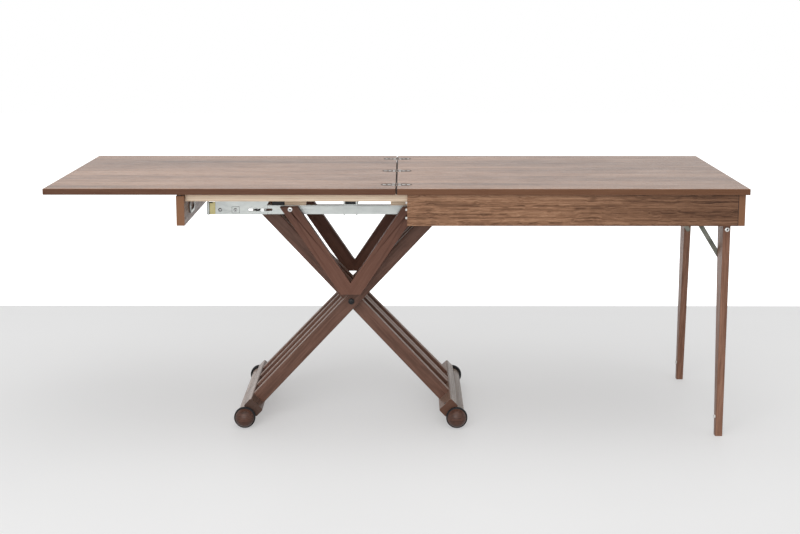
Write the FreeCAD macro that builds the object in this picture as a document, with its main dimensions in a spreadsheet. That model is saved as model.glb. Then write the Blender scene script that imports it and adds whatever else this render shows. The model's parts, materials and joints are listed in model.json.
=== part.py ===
import FreeCAD, Part
import os
import re

import Sketcher

# A convertible coffee and dining table, drawn as it stands for dining. A box with the right leaf and two
# fold-out legs slides along a carriage, the left leaf folds over the right one, and the carriage stands on
# a scissor base with wheels. The origin is on the floor under the seam between the leaves: X runs along
# the table, Y runs from front to rear and Z is up. Lengths are in millimetres and angles in degrees.
SIZES = {
    # Top
    "table_height": 750,
    "top_length": 2000,
    "top_width": 700,
    "top_thickness": 18,
    "top_edge_radius": 2,
    "seam_gap": 5,
    # Hinges in the seam
    "hinge_reach": 41,
    "hinge_width": 40,
    "hinge_thickness": 2,
    "hinge_spacing": 273,
    "hinge_rise": 0.5,
    "knuckle_radius": 2.2,
    "knuckle_gap": 0.4,
    "hinge_pin_radius": 1.1,
    # Box under the right leaf
    "side_overhang": 13,
    "end_overhang": 9,
    "apron_height": 91,
    "apron_thickness": 20,
    "end_board_thickness": 20,
    "left_board_thickness": 23,
    "box_setback": 31,
    "slide_gap": 0.3,
    "end_board_drop": 5,
    # Docking pins in the aprons' left ends
    "docking_pin_radius": 3.5,
    "docking_pin_reach": 5,
    "docking_pin_depth": 15,
    "docking_pin_drop_upper": 26,
    "docking_pin_drop_middle": 46,
    "docking_pin_drop_lower": 70,
    "docking_hole_gap": 0.4,
    "docking_hole_depth": 8,
    # Runners of the carriage, cleats of the box, cross boards
    "runner_height": 23.5,
    "runner_thickness": 22,
    "runner_end": 320,
    "cleat_height": 21.5,
    "cleat_thickness": 20,
    "cleat_setback": 9,
    "cross_board_width": 64,
    "left_cross_board_offset": 164,
    "right_cross_board_offset": 152,
    # Steel rails
    "rail_length": 850,
    "rail_height": 27,
    "rail_depth": 20,
    "rail_wall": 2,
    "rail_face": 150,
    "rail_cap_length": 22,
    "rail_cap_wall": 2,
    "rail_cap_drop": 2,
    "rail_end_gap": 37.5,
    "spreader_width": 44,
    "spreader_thickness": 3,
    # Height latch plates on the rails
    "latch_truss_gap": 40,
    "latch_lean": 6,
    "latch_rise": 13,
    "latch_thickness": 2.5,
    "latch_slot_length": 72,
    "latch_slot_radius": 3.5,
    "latch_slot_lead": 3,
    "latch_pin_radius": 3,
    "latch_pin_head_radius": 5,
    "latch_pin_head": 3,
    "latch_pin_shift": 7,
    "latch_screw_radius": 2,
    "latch_screw_head_radius": 4,
    "latch_screw_head": 2,
    "latch_screw_inset": 14,
    "latch_screw_spacing": 46,
    # V trusses
    "truss_arm_width": 44,
    "truss_thickness": 25,
    "truss_bolt_spread": 178,
    "truss_bolt_drop": 8,
    "truss_top_drop": 2,
    "truss_foot_run": 2.6,
    "truss_pivot_gap": 32,
    "truss_bolt_radius": 3,
    "truss_bolt_head_radius": 7,
    "truss_bolt_head": 2.5,
    # Oval rings on the left end board
    "ring_offset": 208,
    "ring_run": 19,
    "ring_radius": 22,
    "ring_hole_radius": 13,
    "ring_thickness": 4,
    "ring_lift": 40,
    # Scissor base
    "pivot_x": -138,
    "pivot_height_share": 0.4907,
    "foot_spread": 319,
    "slat_width": 42,
    "slat_thickness": 27,
    "slat_edge_radius": 5,
    "slat_end_share": 0.43,
    "slat_end_reach": 20,
    "slat_splay": 24,
    "leg_a_outer_offset": 112,
    "leg_b_outer_offset": 78,
    "leg_a_inner_offset": 46,
    "leg_b_inner_offset": 15,
    "pivot_shaft_radius": 5,
    "pivot_cap_radius": 9,
    "pivot_cap_thickness": 4,
    "pivot_cap_gap": 0.6,
    "washer_radius": 12,
    "washer_play": 1.6,
    "running_gap": 0.05,
    "glide_shaft_radius": 5,
    "glide_length": 40,
    "glide_gap": 0.2,
    # Feet and wheels
    "beam_depth": 31,
    "beam_width": 51,
    "beam_length": 408,
    "beam_edge_radius": 5,
    "beam_setback": 20,
    "roller_radius": 24.5,
    "roller_length": 416,
    "axle_radius": 5,
    "axle_end_gap": 7,
    "wheel_radius": 32,
    "wheel_gap": 0.3,
    "hub_radius": 24,
    "hub_lead": 2.5,
    "tyre_width": 12,
    "tyre_edge_radius": 3,
    "cap_radius": 28.5,
    "cap_depth": 20.5,
    # Fold-out end legs
    "end_leg_inset": 18,
    "end_leg_thickness": 21.5,
    "end_leg_gap": 29,
    "end_leg_top_depth": 71,
    "end_leg_foot_depth": 21.5,
    "end_leg_edge_radius": 3,
    "end_leg_pivot_drop": 19,
    "end_leg_head": 15,
    "leg_bolt_radius": 4,
    "leg_bolt_head_radius": 6.5,
    "leg_bolt_head": 2.5,
    "leg_bolt_nut": 4,
    "bumper_radius": 5,
    "bumper_thickness": 4,
    "bumper_height": 57,
    # Leg plates and braces
    "leg_plate_thickness": 3,
    "leg_plate_gap": 0.5,
    "leg_plate_flange": 23,
    "leg_plate_ear": 26,
    "leg_plate_ear_drop": 11,
    "leg_plate_margin": 6,
    "brace_width": 13.5,
    "brace_thickness": 3,
    "brace_drop": 98,
    "brace_angle": 58,
    "brace_pin_rise": 24,
    "brace_pin_radius": 3,
    "brace_pin_depth": 12,
    "brace_window_play": 0.8,
    "brace_window_dip": 14.5,
    # One overrun for every cut
    "overrun": 5,
}

# Places and sizes worked out from the driving sizes
PLACES = {
    "top_underside": "table_height - top_thickness",
    "leaf_middle": "table_height - top_thickness / 2",
    "seam_edge": "seam_gap / 2",
    "top_end": "top_length / 2",
    "top_side": "top_width / 2",
    "hinge_axis": "table_height + hinge_rise",
    "hinge_round": "seam_gap / 2 + hinge_reach - hinge_width / 2",
    "apron_bottom": "top_underside - apron_height",
    "box_face": "top_width / 2 - side_overhang",
    "box_inside": "box_face - apron_thickness",
    "box_end": "top_length / 2 - end_overhang",
    "box_end_inside": "box_end - end_board_thickness",
    "docking_line": "box_face - apron_thickness / 2",
    "runner_top": "top_underside - slide_gap",
    "runner_bottom": "runner_top - runner_height",
    "runner_face": "box_inside - slide_gap",
    "runner_inside": "runner_face - runner_thickness",
    "cleat_top": "runner_bottom - slide_gap",
    "rail_inside": "rail_face - rail_depth",
    "rail_top": "apron_bottom + rail_height",
    "rail_left": "pivot_x - rail_length / 2",
    "rail_right": "pivot_x + rail_length / 2",
    "end_board_face": "rail_left - rail_cap_wall - rail_end_gap",
    "glide_height": "apron_bottom + rail_height / 2",
    "glide_face": "rail_face - rail_wall - glide_gap",
    "pivot_height": "table_height * pivot_height_share",
    "leg_angle": "atan((pivot_height - wheel_radius) / foot_spread) / 1 deg",
    "lower_half": "(pivot_height - wheel_radius) / sin(leg_angle)",
    "upper_half": "(glide_height - pivot_height) / sin(leg_angle)",
    "glide_spread": "upper_half * cos(leg_angle)",
    "latch_slot_middle": "pivot_x - glide_spread + latch_slot_lead",
    "truss_face": "rail_face + truss_thickness",
    "truss_top": "rail_top - truss_top_drop",
    "truss_bolt_height": "rail_top - truss_bolt_drop",
    "truss_bottom_height": "pivot_height + truss_pivot_gap",
    "truss_slope": "(truss_bolt_height - truss_bottom_height) / (truss_bolt_spread - truss_foot_run)",
    "truss_half": "truss_arm_width / 2 * sqrt(1 + 1 / truss_slope^2)",
    "truss_top_run": "truss_bolt_spread + (truss_top - truss_bolt_height) / truss_slope",
    "latch_left": "rail_left + rail_cap_length",
    "latch_right": "pivot_x - truss_top_run - truss_half - latch_truss_gap",
    "latch_face": "rail_face + latch_thickness",
    "truss_notch": "truss_bolt_height - (truss_bolt_spread - truss_half) * truss_slope",
    "slat_foot": "lower_half - beam_setback - beam_depth",
    "slat_head": "upper_half + slat_end_reach",
    "splay_slope": "slat_splay / lower_half",
    "pivot_cap_start": "leg_a_outer_offset + slat_thickness / 2 + pivot_cap_gap",
    "roller_end": "roller_length / 2",
    "hub_start": "roller_end + wheel_gap",
    "tyre_start": "hub_start + hub_lead",
    "tyre_end": "tyre_start + tyre_width",
    "cap_sphere": "(cap_radius^2 + cap_depth^2) / (2 * cap_depth)",
    "axle_end": "tyre_end + cap_depth - axle_end_gap",
    "end_leg_x": "box_end_inside - end_leg_inset",
    "end_leg_face": "box_inside - end_leg_gap",
    "end_leg_pivot_height": "apron_bottom - end_leg_pivot_drop",
    "end_leg_top": "end_leg_pivot_height + end_leg_head",
    "end_leg_taper": "(end_leg_top_depth - end_leg_foot_depth) / end_leg_top",
    "leg_plate_face": "end_leg_face - end_leg_top_depth - leg_plate_gap",
    "brace_pin_height": "apron_bottom + brace_pin_rise",
    "brace_foot_height": "end_leg_pivot_height - brace_drop",
    "brace_length": "(brace_pin_height - brace_foot_height) / sin(brace_angle)",
    "brace_run": "brace_length * cos(brace_angle)",
    "brace_lift": "brace_pin_height - end_leg_pivot_height",
    "brace_folded_run": "brace_drop + sqrt(brace_length^2 - brace_lift^2)",
    "brace_clear_height": "brace_foot_height + end_leg_thickness / 2 * tan(brace_angle) + brace_width",
    "brace_face": "end_leg_face - end_leg_foot_depth - end_leg_taper * brace_clear_height - leg_plate_gap",
    "brace_inside": "brace_face - brace_thickness",
    "window_half": "brace_pin_radius + brace_window_play",
    "window_left": "end_leg_x - brace_folded_run - window_half",
    "window_right": "end_leg_x - brace_run + window_half",
    "leg_plate_left": "window_left - leg_plate_margin",
}

SIDES = {"front": -1, "rear": 1}
ENDS = {"left": -1, "right": 1}
ALONG_X = ((0, 1, 0), 90)
ALONG_Y = ((1, 0, 0), -90)

doc = FreeCAD.newDocument("convertible_table")


def linked(text, home=""):
    """An expression with each size's sheet put before its name, apart from names of the sheet it is in."""
    def full(match):
        word = match.group()
        if word in SIZES:
            return "Sizes." + word
        if word in PLACES and home != "Places":
            return "Places." + word
        return word
    return re.sub(r"[a-z][a-z_]*", full, text)


def add_sheet(name, cells):
    sheet = doc.addObject("Spreadsheet::Sheet", name)
    for row, (alias, content) in enumerate(cells.items(), 1):
        sheet.set(f"A{row}", alias)
        sheet.set(f"B{row}", content)
        sheet.setAlias(f"B{row}", alias)
    return sheet


add_sheet("Sizes", {alias: str(number) for alias, number in SIZES.items()})
places = add_sheet("Places", {alias: "=" + linked(text, "Places") for alias, text in PLACES.items()})
doc.recompute()
parts = []


def value(text):
    """The number that an expression has now."""
    return float(places.evalExpression(linked(text)))


def bind(item, name, text):
    item.setExpression(name, linked(text))


def place(item, x, y, z, turn=None):
    """Ties an object's place to expressions. A turn is an axis and an angle."""
    if turn:
        axis, angle = turn
        start = FreeCAD.Rotation(FreeCAD.Vector(*axis), value(str(angle)))
        item.Placement = FreeCAD.Placement(FreeCAD.Vector(), start)
        bind(item, "Placement.Rotation.Angle", str(angle))
    for name, text in zip("xyz", (x, y, z)):
        bind(item, "Placement.Base." + name, text)
    return item


def named(kind, label):
    item = doc.addObject(kind, label)
    item.Label = label
    return item


def finished(item):
    """Marks an object as one of the table's pieces."""
    parts.append(item)
    return item


def box(label, x, y, z):
    """A block between two expressions on each axis."""
    item = named("Part::Box", label)
    for name, (low, high) in zip(("Length", "Width", "Height"), (x, y, z)):
        bind(item, name, f"({high}) - ({low})")
    return place(item, x[0], y[0], z[0])


def rod(label, turn, radius, start, length):
    """A round bar from a start point, along X or Y."""
    item = named("Part::Cylinder", label)
    bind(item, "Radius", radius)
    bind(item, "Height", length)
    return place(item, *start, turn)


def cross_rod(label, radius, x, z, half_length):
    """A round bar along Y, centred on the table."""
    return rod(label, ALONG_Y, radius, (x, f"-({half_length})", z), f"2 * ({half_length})")


def fuse(label, items):
    item = named("Part::MultiFuse", label)
    item.Shapes = items
    return item


def cut(label, base, tool):
    item = named("Part::Cut", label)
    item.Base = base
    item.Tool = tool
    return item


def group(label, items):
    """Separate solids that share one name."""
    item = named("Part::Compound", label)
    item.Links = items
    return finished(item)


def span(sign, inner, outer):
    """The Y limits of a piece that lies between two distances from the middle, on one side."""
    if sign > 0:
        return inner, outer
    return f"-({outer})", f"-({inner})"


def sketch_on(body, role):
    sketch = body.newObject("Sketcher::SketchObject", body.Label + "_sketch")
    plane = next(item for item in body.Origin.OriginFeatures if item.Role == role)
    sketch.AttachmentSupport = [(plane, "")]
    sketch.MapMode = "FlatFace"
    return sketch


def pin_point(sketch, geometry, position, corner):
    """Ties a sketch point's two coordinates to expressions."""
    for kind, text in zip(("DistanceX", "DistanceY"), corner):
        rule = Sketcher.Constraint(kind, -1, 1, geometry, position, value(text))
        bind(sketch, f"Constraints[{sketch.addConstraint(rule)}]", text)


def add_circle(sketch, centre, radius):
    """A sketched circle, with its centre and radius tied to expressions."""
    middle = FreeCAD.Vector(*map(value, centre), 0)
    circle = sketch.addGeometry(Part.Circle(middle, FreeCAD.Vector(0, 0, 1), value(radius)))
    rule = Sketcher.Constraint("Radius", circle, value(radius))
    bind(sketch, f"Constraints[{sketch.addConstraint(rule)}]", radius)
    pin_point(sketch, circle, 3, centre)


def pad_both_ways(body, sketch, depth):
    """Thickens a sketch by half a depth to each side of its plane."""
    pad = body.newObject("PartDesign::Pad", body.Label + "_pad")
    pad.Profile = sketch
    pad.SideType = "Symmetric"
    bind(pad, "Length", depth)
    doc.recompute()


def prism(label, role, corners, depth):
    """A body with a straight-sided outline, padded half its depth to each side of one of its planes."""
    body = named("PartDesign::Body", label)
    sketch = sketch_on(body, role)
    points = [FreeCAD.Vector(value(x), value(y), 0) for x, y in corners]
    for start, end in zip(points, points[1:] + points[:1]):
        sketch.addGeometry(Part.LineSegment(start, end))
    for side in range(len(points)):
        sketch.addConstraint(Sketcher.Constraint("Coincident", side, 2, (side + 1) % len(points), 1))
        pin_point(sketch, side, 1, corners[side])
    pad_both_ways(body, sketch, depth)
    return body


def bore(body, role, holes):
    """Round holes right through a body, each a centre and a radius."""
    sketch = sketch_on(body, role)
    for x, y, radius in holes:
        add_circle(sketch, (x, y), radius)
    pocket = body.newObject("PartDesign::Pocket", body.Label + "_bore")
    pocket.Profile = sketch
    pocket.SideType = "Symmetric"
    pocket.Type = "ThroughAll"
    doc.recompute()


def rounded(body, radius, chosen):
    """Rounds the edges of a body that are chosen by their start and end."""
    base = body.Tip
    names = []
    for number, edge in enumerate(base.Shape.Edges, 1):
        if chosen(edge.Vertexes[0].Point, edge.Vertexes[-1].Point):
            names.append(f"Edge{number}")
    fillet = body.newObject("PartDesign::Fillet", body.Label + "_round")
    fillet.Base = (base, names)
    bind(fillet, "Radius", radius)
    doc.recompute()


def runs_along(axis):
    """Chooses the edges that run mainly along one axis of their body."""
    def chosen(start, end):
        step = [abs(part) for part in end - start]
        return step[axis] > 0 and step[axis] == max(step)
    return chosen


# Hinges in the seam, and the two leaves that they are let into

def hinge_outline(label, sign, y):
    """A hinge plate's outline: straight at the seam and round at its far end."""
    low, high = sorted((f"{sign} * seam_edge", f"{sign} * hinge_round"), key=value)
    depth = ("table_height - hinge_thickness", "table_height")
    block = box(label + "_block", (low, high), (f"{y} - hinge_width / 2", f"{y} + hinge_width / 2"), depth)
    end = named("Part::Cylinder", label + "_end")
    bind(end, "Radius", "hinge_width / 2")
    bind(end, "Height", "hinge_thickness")
    place(end, f"{sign} * hinge_round", y, depth[0])
    return fuse(label + "_outline", [block, end])


def hinge_knuckle(label, sign, low, high):
    """One knuckle round the pin, with the root that joins it to its plate."""
    length = f"({high}) - ({low})"
    barrel = rod(label + "_barrel", ALONG_Y, "knuckle_radius", ("0", low, "hinge_axis"), length)
    reach = sorted((f"{sign} * hinge_pin_radius", f"{sign} * seam_edge"), key=value)
    root = box(label + "_root", reach, (low, high), ("table_height - hinge_thickness", "table_height"))
    return [barrel, root]


def hinge_plate(side, sign, number, y):
    """A hinge plate. The right one has the two outer knuckles and the left one the middle knuckle."""
    label = f"{side}_hinge_{number}"
    third = "hinge_width / 6"
    if sign > 0:
        barrels = [
            (f"{y} - hinge_width / 2", f"{y} - {third} - knuckle_gap / 2"),
            (f"{y} + {third} + knuckle_gap / 2", f"{y} + hinge_width / 2"),
        ]
    else:
        barrels = [(f"{y} - {third} + knuckle_gap / 2", f"{y} + {third} - knuckle_gap / 2")]
    pieces = [hinge_outline(label, sign, y)]
    for order, (low, high) in enumerate(barrels):
        pieces += hinge_knuckle(f"{label}_{order}", sign, low, high)
    hole = rod(
        label + "_hole", ALONG_Y, "hinge_pin_radius + running_gap",
        ("0", f"{y} - hinge_width / 2 - overrun", "hinge_axis"), "hinge_width + 2 * overrun",
    )
    return cut(label, fuse(label + "_solid", pieces), hole)


def leaf(side, sign):
    seam, end = f"{sign} * seam_edge", f"{sign} * top_end"
    corners = [(seam, "-top_side"), (end, "-top_side"), (end, "top_side"), (seam, "top_side")]
    blank = prism(side + "_leaf_blank", "XY_Plane", corners, "top_thickness")
    beyond_seam = value("seam_gap")

    def outer_edge(start, to):
        level = start.z * to.z > 0
        return level and max(abs(start.x), abs(to.x)) > beyond_seam

    rounded(blank, "top_edge_radius", outer_edge)
    place(blank, "0", "0", "leaf_middle")
    recesses = [hinge_outline(f"{side}_recess_{n}", sign, y) for n, y in enumerate(HINGE_LINES, 1)]
    finished(cut(side + "_leaf", blank, fuse(side + "_recesses", recesses)))


HINGE_LINES = ("-hinge_spacing", "0", "hinge_spacing")
for side, sign in ENDS.items():
    leaf(side, sign)
    group(side + "_hinge_plates", [hinge_plate(side, sign, n, y) for n, y in enumerate(HINGE_LINES, 1)])
group("hinge_pins", [
    rod(
        f"hinge_pin_{n}", ALONG_Y, "hinge_pin_radius",
        ("0", f"{y} - hinge_width / 2", "hinge_axis"), "hinge_width",
    )
    for n, y in enumerate(HINGE_LINES, 1)
])

# Box under the right leaf, and the end board that it closes against

DOCKING_DROPS = ("docking_pin_drop_upper", "docking_pin_drop_middle", "docking_pin_drop_lower")


def docking_rods(label, sign, radius, start, length):
    """Three short bars along X, in line with one apron."""
    y = f"{sign} * docking_line"
    return [
        rod(f"{label}_{n}", ALONG_X, radius, (start, y, f"top_underside - {drop}"), length)
        for n, drop in enumerate(DOCKING_DROPS, 1)
    ]


docking_pins = []
docking_holes = []
for side, sign in SIDES.items():
    pins = docking_rods(
        side + "_docking_pin", sign, "docking_pin_radius",
        "box_setback - docking_pin_reach", "docking_pin_reach + docking_pin_depth",
    )
    docking_pins += pins
    docking_holes += docking_rods(
        side + "_docking_hole", sign, "docking_pin_radius + docking_hole_gap",
        "end_board_face - docking_hole_depth", "docking_hole_depth + overrun",
    )
    apron = box(
        side + "_apron_board", ("box_setback", "box_end_inside"),
        span(sign, "box_inside", "box_face"), ("apron_bottom", "top_underside"),
    )
    finished(cut(side + "_apron", apron, fuse(side + "_apron_holes", pins)))
group("docking_pins", docking_pins)
finished(box(
    "right_end_board", ("box_end_inside", "box_end"), ("-box_face", "box_face"),
    ("apron_bottom", "top_underside"),
))
group("guide_cleats", [
    box(
        side + "_cleat", ("box_setback + cleat_setback", "box_end_inside - cleat_setback"),
        span(sign, "box_inside - cleat_thickness", "box_inside"), ("cleat_top - cleat_height", "cleat_top"),
    )
    for side, sign in SIDES.items()
])
end_board = box(
    "left_end_board_blank", ("end_board_face - left_board_thickness", "end_board_face"),
    ("-box_face", "box_face"), ("apron_bottom", "top_underside - end_board_drop"),
)
finished(cut("left_end_board", end_board, fuse("left_end_board_holes", docking_holes)))

# Carriage: runners, cross boards, rail blocks, the rails' spreader and the end board's oval rings

group("runners", [
    box(
        side + "_runner", ("end_board_face", "runner_end"),
        span(sign, "runner_inside", "runner_face"), ("runner_bottom", "runner_top"),
    )
    for side, sign in SIDES.items()
])
boards = {
    end: (
        f"pivot_x + {sign} * {end}_cross_board_offset - cross_board_width / 2",
        f"pivot_x + {sign} * {end}_cross_board_offset + cross_board_width / 2",
    )
    for end, sign in ENDS.items()
}
group("cross_boards", [
    box(end + "_cross_board", reach, ("-runner_inside", "runner_inside"), ("runner_bottom", "runner_top"))
    for end, reach in boards.items()
])
group("rail_blocks", [
    box(
        f"{side}_{end}_rail_block", reach,
        span(sign, "rail_inside", "rail_face"), ("rail_top", "runner_bottom"),
    )
    for side, sign in SIDES.items()
    for end, reach in boards.items()
])


def oval(label, sign, radius, start, end):
    """A long round-ended shape that stands on the left end board's inside, between two distances along X."""
    reach = span(sign, "ring_offset - ring_run", "ring_offset + ring_run")
    middle = "apron_bottom + ring_lift"
    ends = [
        rod(f"{label}_end_{n}", ALONG_X, radius, (start, y, middle), f"({end}) - ({start})")
        for n, y in enumerate(reach, 1)
    ]
    height = (f"{middle} - {radius}", f"{middle} + {radius}")
    return fuse(label, [*ends, box(label + "_middle", (start, end), reach, height)])


def end_ring(side, sign):
    """An oval steel ring on the inside of the left end board."""
    back, face = "end_board_face", "end_board_face + ring_thickness"
    ring = oval(side + "_ring_blank", sign, "ring_radius", back, face)
    hole = oval(side + "_ring_hole", sign, "ring_hole_radius", back + " - overrun", face + " + overrun")
    return cut(side + "_end_ring", ring, hole)


group("end_board_brackets", [end_ring(side, sign) for side, sign in SIDES.items()])
finished(box(
    "rail_spreader", ("pivot_x - spreader_width / 2", "pivot_x + spreader_width / 2"),
    ("-rail_face", "rail_face"), ("rail_top", "rail_top + spreader_thickness"),
))

# Carriage: steel rails, latch plates, V trusses and their bolts


def headed(label, sign, radius, head_radius, x, z, start, face, head):
    """A bolt along Y whose head stands on a face, with its shank reaching in to a start."""
    low, high = span(sign, start, face)
    shank = rod(label + "_shank", ALONG_Y, radius, (x, low, z), f"({high}) - ({low})")
    low, high = span(sign, face, f"{face} + {head}")
    cap = rod(label + "_head", ALONG_Y, head_radius, (x, low, z), f"({high}) - ({low})")
    return fuse(label, [shank, cap])


def rail_bolts(side, sign):
    inside = "rail_face - rail_wall"
    bolts = [
        headed(
            f"{side}_{end}_truss_bolt", sign, "truss_bolt_radius", "truss_bolt_head_radius",
            f"pivot_x + {hand} * truss_bolt_spread", "truss_bolt_height",
            inside, "truss_face", "truss_bolt_head",
        )
        for end, hand in ENDS.items()
    ]
    for n in range(2):
        x = f"latch_left + latch_screw_inset + {n} * latch_screw_spacing"
        bolts.append(headed(
            f"{side}_latch_screw_{n}", sign, "latch_screw_radius", "latch_screw_head_radius",
            x, "glide_height", inside, "latch_face", "latch_screw_head",
        ))
    return bolts


def latch_slot(side, sign):
    """The slot through a rail's web and its latch plate, round at both ends."""
    low, high = span(sign, "rail_face - rail_wall - glide_gap", "latch_face + overrun")
    run = "(latch_slot_length / 2 - latch_slot_radius)"
    ends = [
        rod(
            f"{side}_{end}_slot_end", ALONG_Y, "latch_slot_radius",
            (f"latch_slot_middle + {hand} * {run}", low, "glide_height"), f"({high}) - ({low})",
        )
        for end, hand in ENDS.items()
    ]
    middle = box(
        side + "_slot_middle", (f"latch_slot_middle - {run}", f"latch_slot_middle + {run}"), (low, high),
        ("glide_height - latch_slot_radius", "glide_height + latch_slot_radius"),
    )
    return fuse(side + "_slot", ends + [middle])


def rail(side, sign, holes):
    bar = box(
        side + "_rail_bar", ("rail_left", "rail_right"), span(sign, "rail_inside", "rail_face"),
        ("apron_bottom", "rail_top"),
    )
    hollow = box(
        side + "_rail_hollow", ("rail_left - overrun", "rail_right + overrun"),
        span(sign, "rail_inside - overrun", "rail_face - rail_wall"),
        ("apron_bottom + rail_wall", "rail_top - rail_wall"),
    )
    finished(cut(side + "_rail", bar, fuse(side + "_rail_cuts", [hollow, *holes])))


def latch_plate(side, sign, holes):
    """A plate on the rail's face that rises above it, cut at a slant at its right end."""
    corners = [
        ("latch_left", "apron_bottom"), ("latch_right", "apron_bottom"),
        ("latch_right", "rail_top"), ("latch_right + latch_lean", "rail_top + latch_rise"),
        ("latch_left", "rail_top + latch_rise"),
    ]
    plate = prism(side + "_latch_blank", "XZ_Plane", corners, "latch_thickness")
    place(plate, "0", f"{sign} * (rail_face + latch_thickness / 2)", "0")
    return cut(side + "_latch_plate", plate, fuse(side + "_latch_cuts", holes))


def rail_cap(side, sign):
    """A bent end piece that wraps the rail's left end and stands above it."""
    height = ("apron_bottom", "rail_top + latch_rise - rail_cap_drop")
    return fuse(side + "_rail_cap", [
        box(
            side + "_rail_cap_side", ("rail_left", "latch_left"),
            span(sign, "rail_face", "rail_face + rail_cap_wall"), height,
        ),
        box(
            side + "_rail_cap_end", ("rail_left - rail_cap_wall", "rail_left"),
            span(sign, "rail_inside", "rail_face + rail_cap_wall"), height,
        ),
    ])


def truss(side, sign, bolts):
    """Two arms, mitred together over the scissor's pivot, with flat tops and a flat foot."""
    arms = []
    for end, hand in ENDS.items():
        corners = [
            ("0", "truss_notch"), ("0", "truss_bottom_height"),
            (f"{hand} * (truss_foot_run + truss_half)", "truss_bottom_height"),
            (f"{hand} * (truss_top_run + truss_half)", "truss_top"),
            (f"{hand} * (truss_top_run - truss_half)", "truss_top"),
        ]
        arm = prism(f"{side}_{end}_arm_blank", "XZ_Plane", corners, "truss_thickness")
        place(arm, "pivot_x", f"{sign} * (rail_face + truss_thickness / 2)", "0")
        arms.append(cut(f"{side}_{end}_arm", arm, bolts[end]))
    group(side + "_truss", arms)


rail_caps = []
latch_plates = []
bolts = []
for side, sign in SIDES.items():
    fasteners = rail_bolts(side, sign)
    slot = latch_slot(side, sign)
    rail(side, sign, fasteners + [slot])
    truss(side, sign, dict(zip(ENDS, fasteners)))
    latch_plates.append(latch_plate(side, sign, fasteners[len(ENDS):] + [slot]))
    rail_caps.append(rail_cap(side, sign))
    latch_pin = headed(
        side + "_latch_pin", sign, "latch_pin_radius", "latch_pin_head_radius",
        "latch_slot_middle + latch_pin_shift", "glide_height", "rail_face - rail_wall", "latch_face",
        "latch_pin_head",
    )
    bolts += [*fasteners, latch_pin]
group("rail_end_caps", rail_caps)
group("height_latch_plates", latch_plates)
group("carriage_bolts", bolts)

# Scissor base: two legs of four slats each, seen from the front as an X. Leg A runs from the left foot to
# the right glide and leg B from the right foot to the left glide. A leg's own X axis runs along it from
# the pivot to its head, so a leg's frame is turned by the leg's angle about the pivot.
LEGS = {"leg_a": 1, "leg_b": -1}


def turned(hand):
    """The turn about Y that lays a leg's own X axis along the leg."""
    return ((0, 1, 0), "-leg_angle" if hand > 0 else "leg_angle - 180")


def at_pivot(item, hand, y="0"):
    return place(item, "pivot_x", y, "pivot_height", turned(hand))


def head_edge(start, to):
    """Chooses the edges across a slat's head."""
    return min(start.x, to.x) > 0 and abs(start.y - to.y) > abs(start.z - to.z)


def long_edge(start, to):
    """Chooses the edges that run past the pivot, from a slat's foot to its head."""
    return start.x * to.x < 0


def slat(leg, hand, side, sign, rank):
    """A round-edged slat, bored for the pivot and the glide shaft. Outer slats spread towards the foot."""
    offset = f"{sign} * {leg}_{rank}_offset"
    lean = f"{sign} * splay_slope" if rank == "outer" else "0"
    foot, head = f"{offset} + {lean} * slat_foot", f"{offset} - {lean} * slat_head"
    half = "slat_thickness / 2"
    corners = [
        ("-slat_foot", f"{foot} - {half}"), ("slat_head", f"{head} - {half}"),
        ("slat_head", f"{head} + {half}"), ("-slat_foot", f"{foot} + {half}"),
    ]
    body = prism(f"{leg}_{side}_{rank}_slat", "XY_Plane", corners, "slat_width")
    rounded(body, "slat_end_share * slat_width", head_edge)
    rounded(body, "slat_edge_radius", long_edge)
    bore(body, "XZ_Plane", [
        ("0", "0", "pivot_shaft_radius + running_gap"),
        ("upper_half", "0", "glide_shaft_radius + running_gap"),
    ])
    finished(at_pivot(body, hand))


def foot(leg, hand):
    """A leg's foot: a beam across the slats' ends, hollowed for a roller that the axle runs through."""
    near, far = "-(lower_half - beam_setback)", "-slat_foot"
    corners = [
        (near, "-beam_width / 2"), (far, "-beam_width / 2"),
        (far, "beam_width / 2"), (near, "beam_width / 2"),
    ]
    blank = prism(leg + "_beam_blank", "XZ_Plane", corners, "beam_length")
    rounded(blank, "beam_edge_radius", runs_along(1))
    at_pivot(blank, hand)
    x = f"pivot_x - {hand} * foot_spread"
    bar = cross_rod(leg + "_roller_bar", "roller_radius", x, "wheel_radius", "roller_end")
    finished(cut(leg + "_foot_beam", blank, bar))
    bore_half = "roller_end + overrun"
    hole = cross_rod(leg + "_roller_hole", "axle_radius + running_gap", x, "wheel_radius", bore_half)
    finished(cut(leg + "_foot_roller", bar, hole))


def glides(leg, hand):
    """A shaft through a leg's heads, with a block at each end that slides in a rail."""
    x = f"pivot_x + {hand} * glide_spread"
    shaft = finished(cross_rod(leg + "_glide_shaft", "glide_shaft_radius", x, "glide_height", "glide_face"))
    blocks = []
    for side, sign in SIDES.items():
        block = box(
            f"{leg}_{side}_glide_blank", (f"{x} - glide_length / 2", f"{x} + glide_length / 2"),
            span(sign, "rail_inside", "glide_face"),
            ("apron_bottom + rail_wall + glide_gap", "rail_top - rail_wall - glide_gap"),
        )
        blocks.append(cut(f"{leg}_{side}_glide", block, shaft))
    group(leg + "_glide_blocks", blocks)


for leg, hand in LEGS.items():
    for side, sign in SIDES.items():
        for rank in ("outer", "inner"):
            slat(leg, hand, side, sign, rank)
    foot(leg, hand)
    glides(leg, hand)

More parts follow.
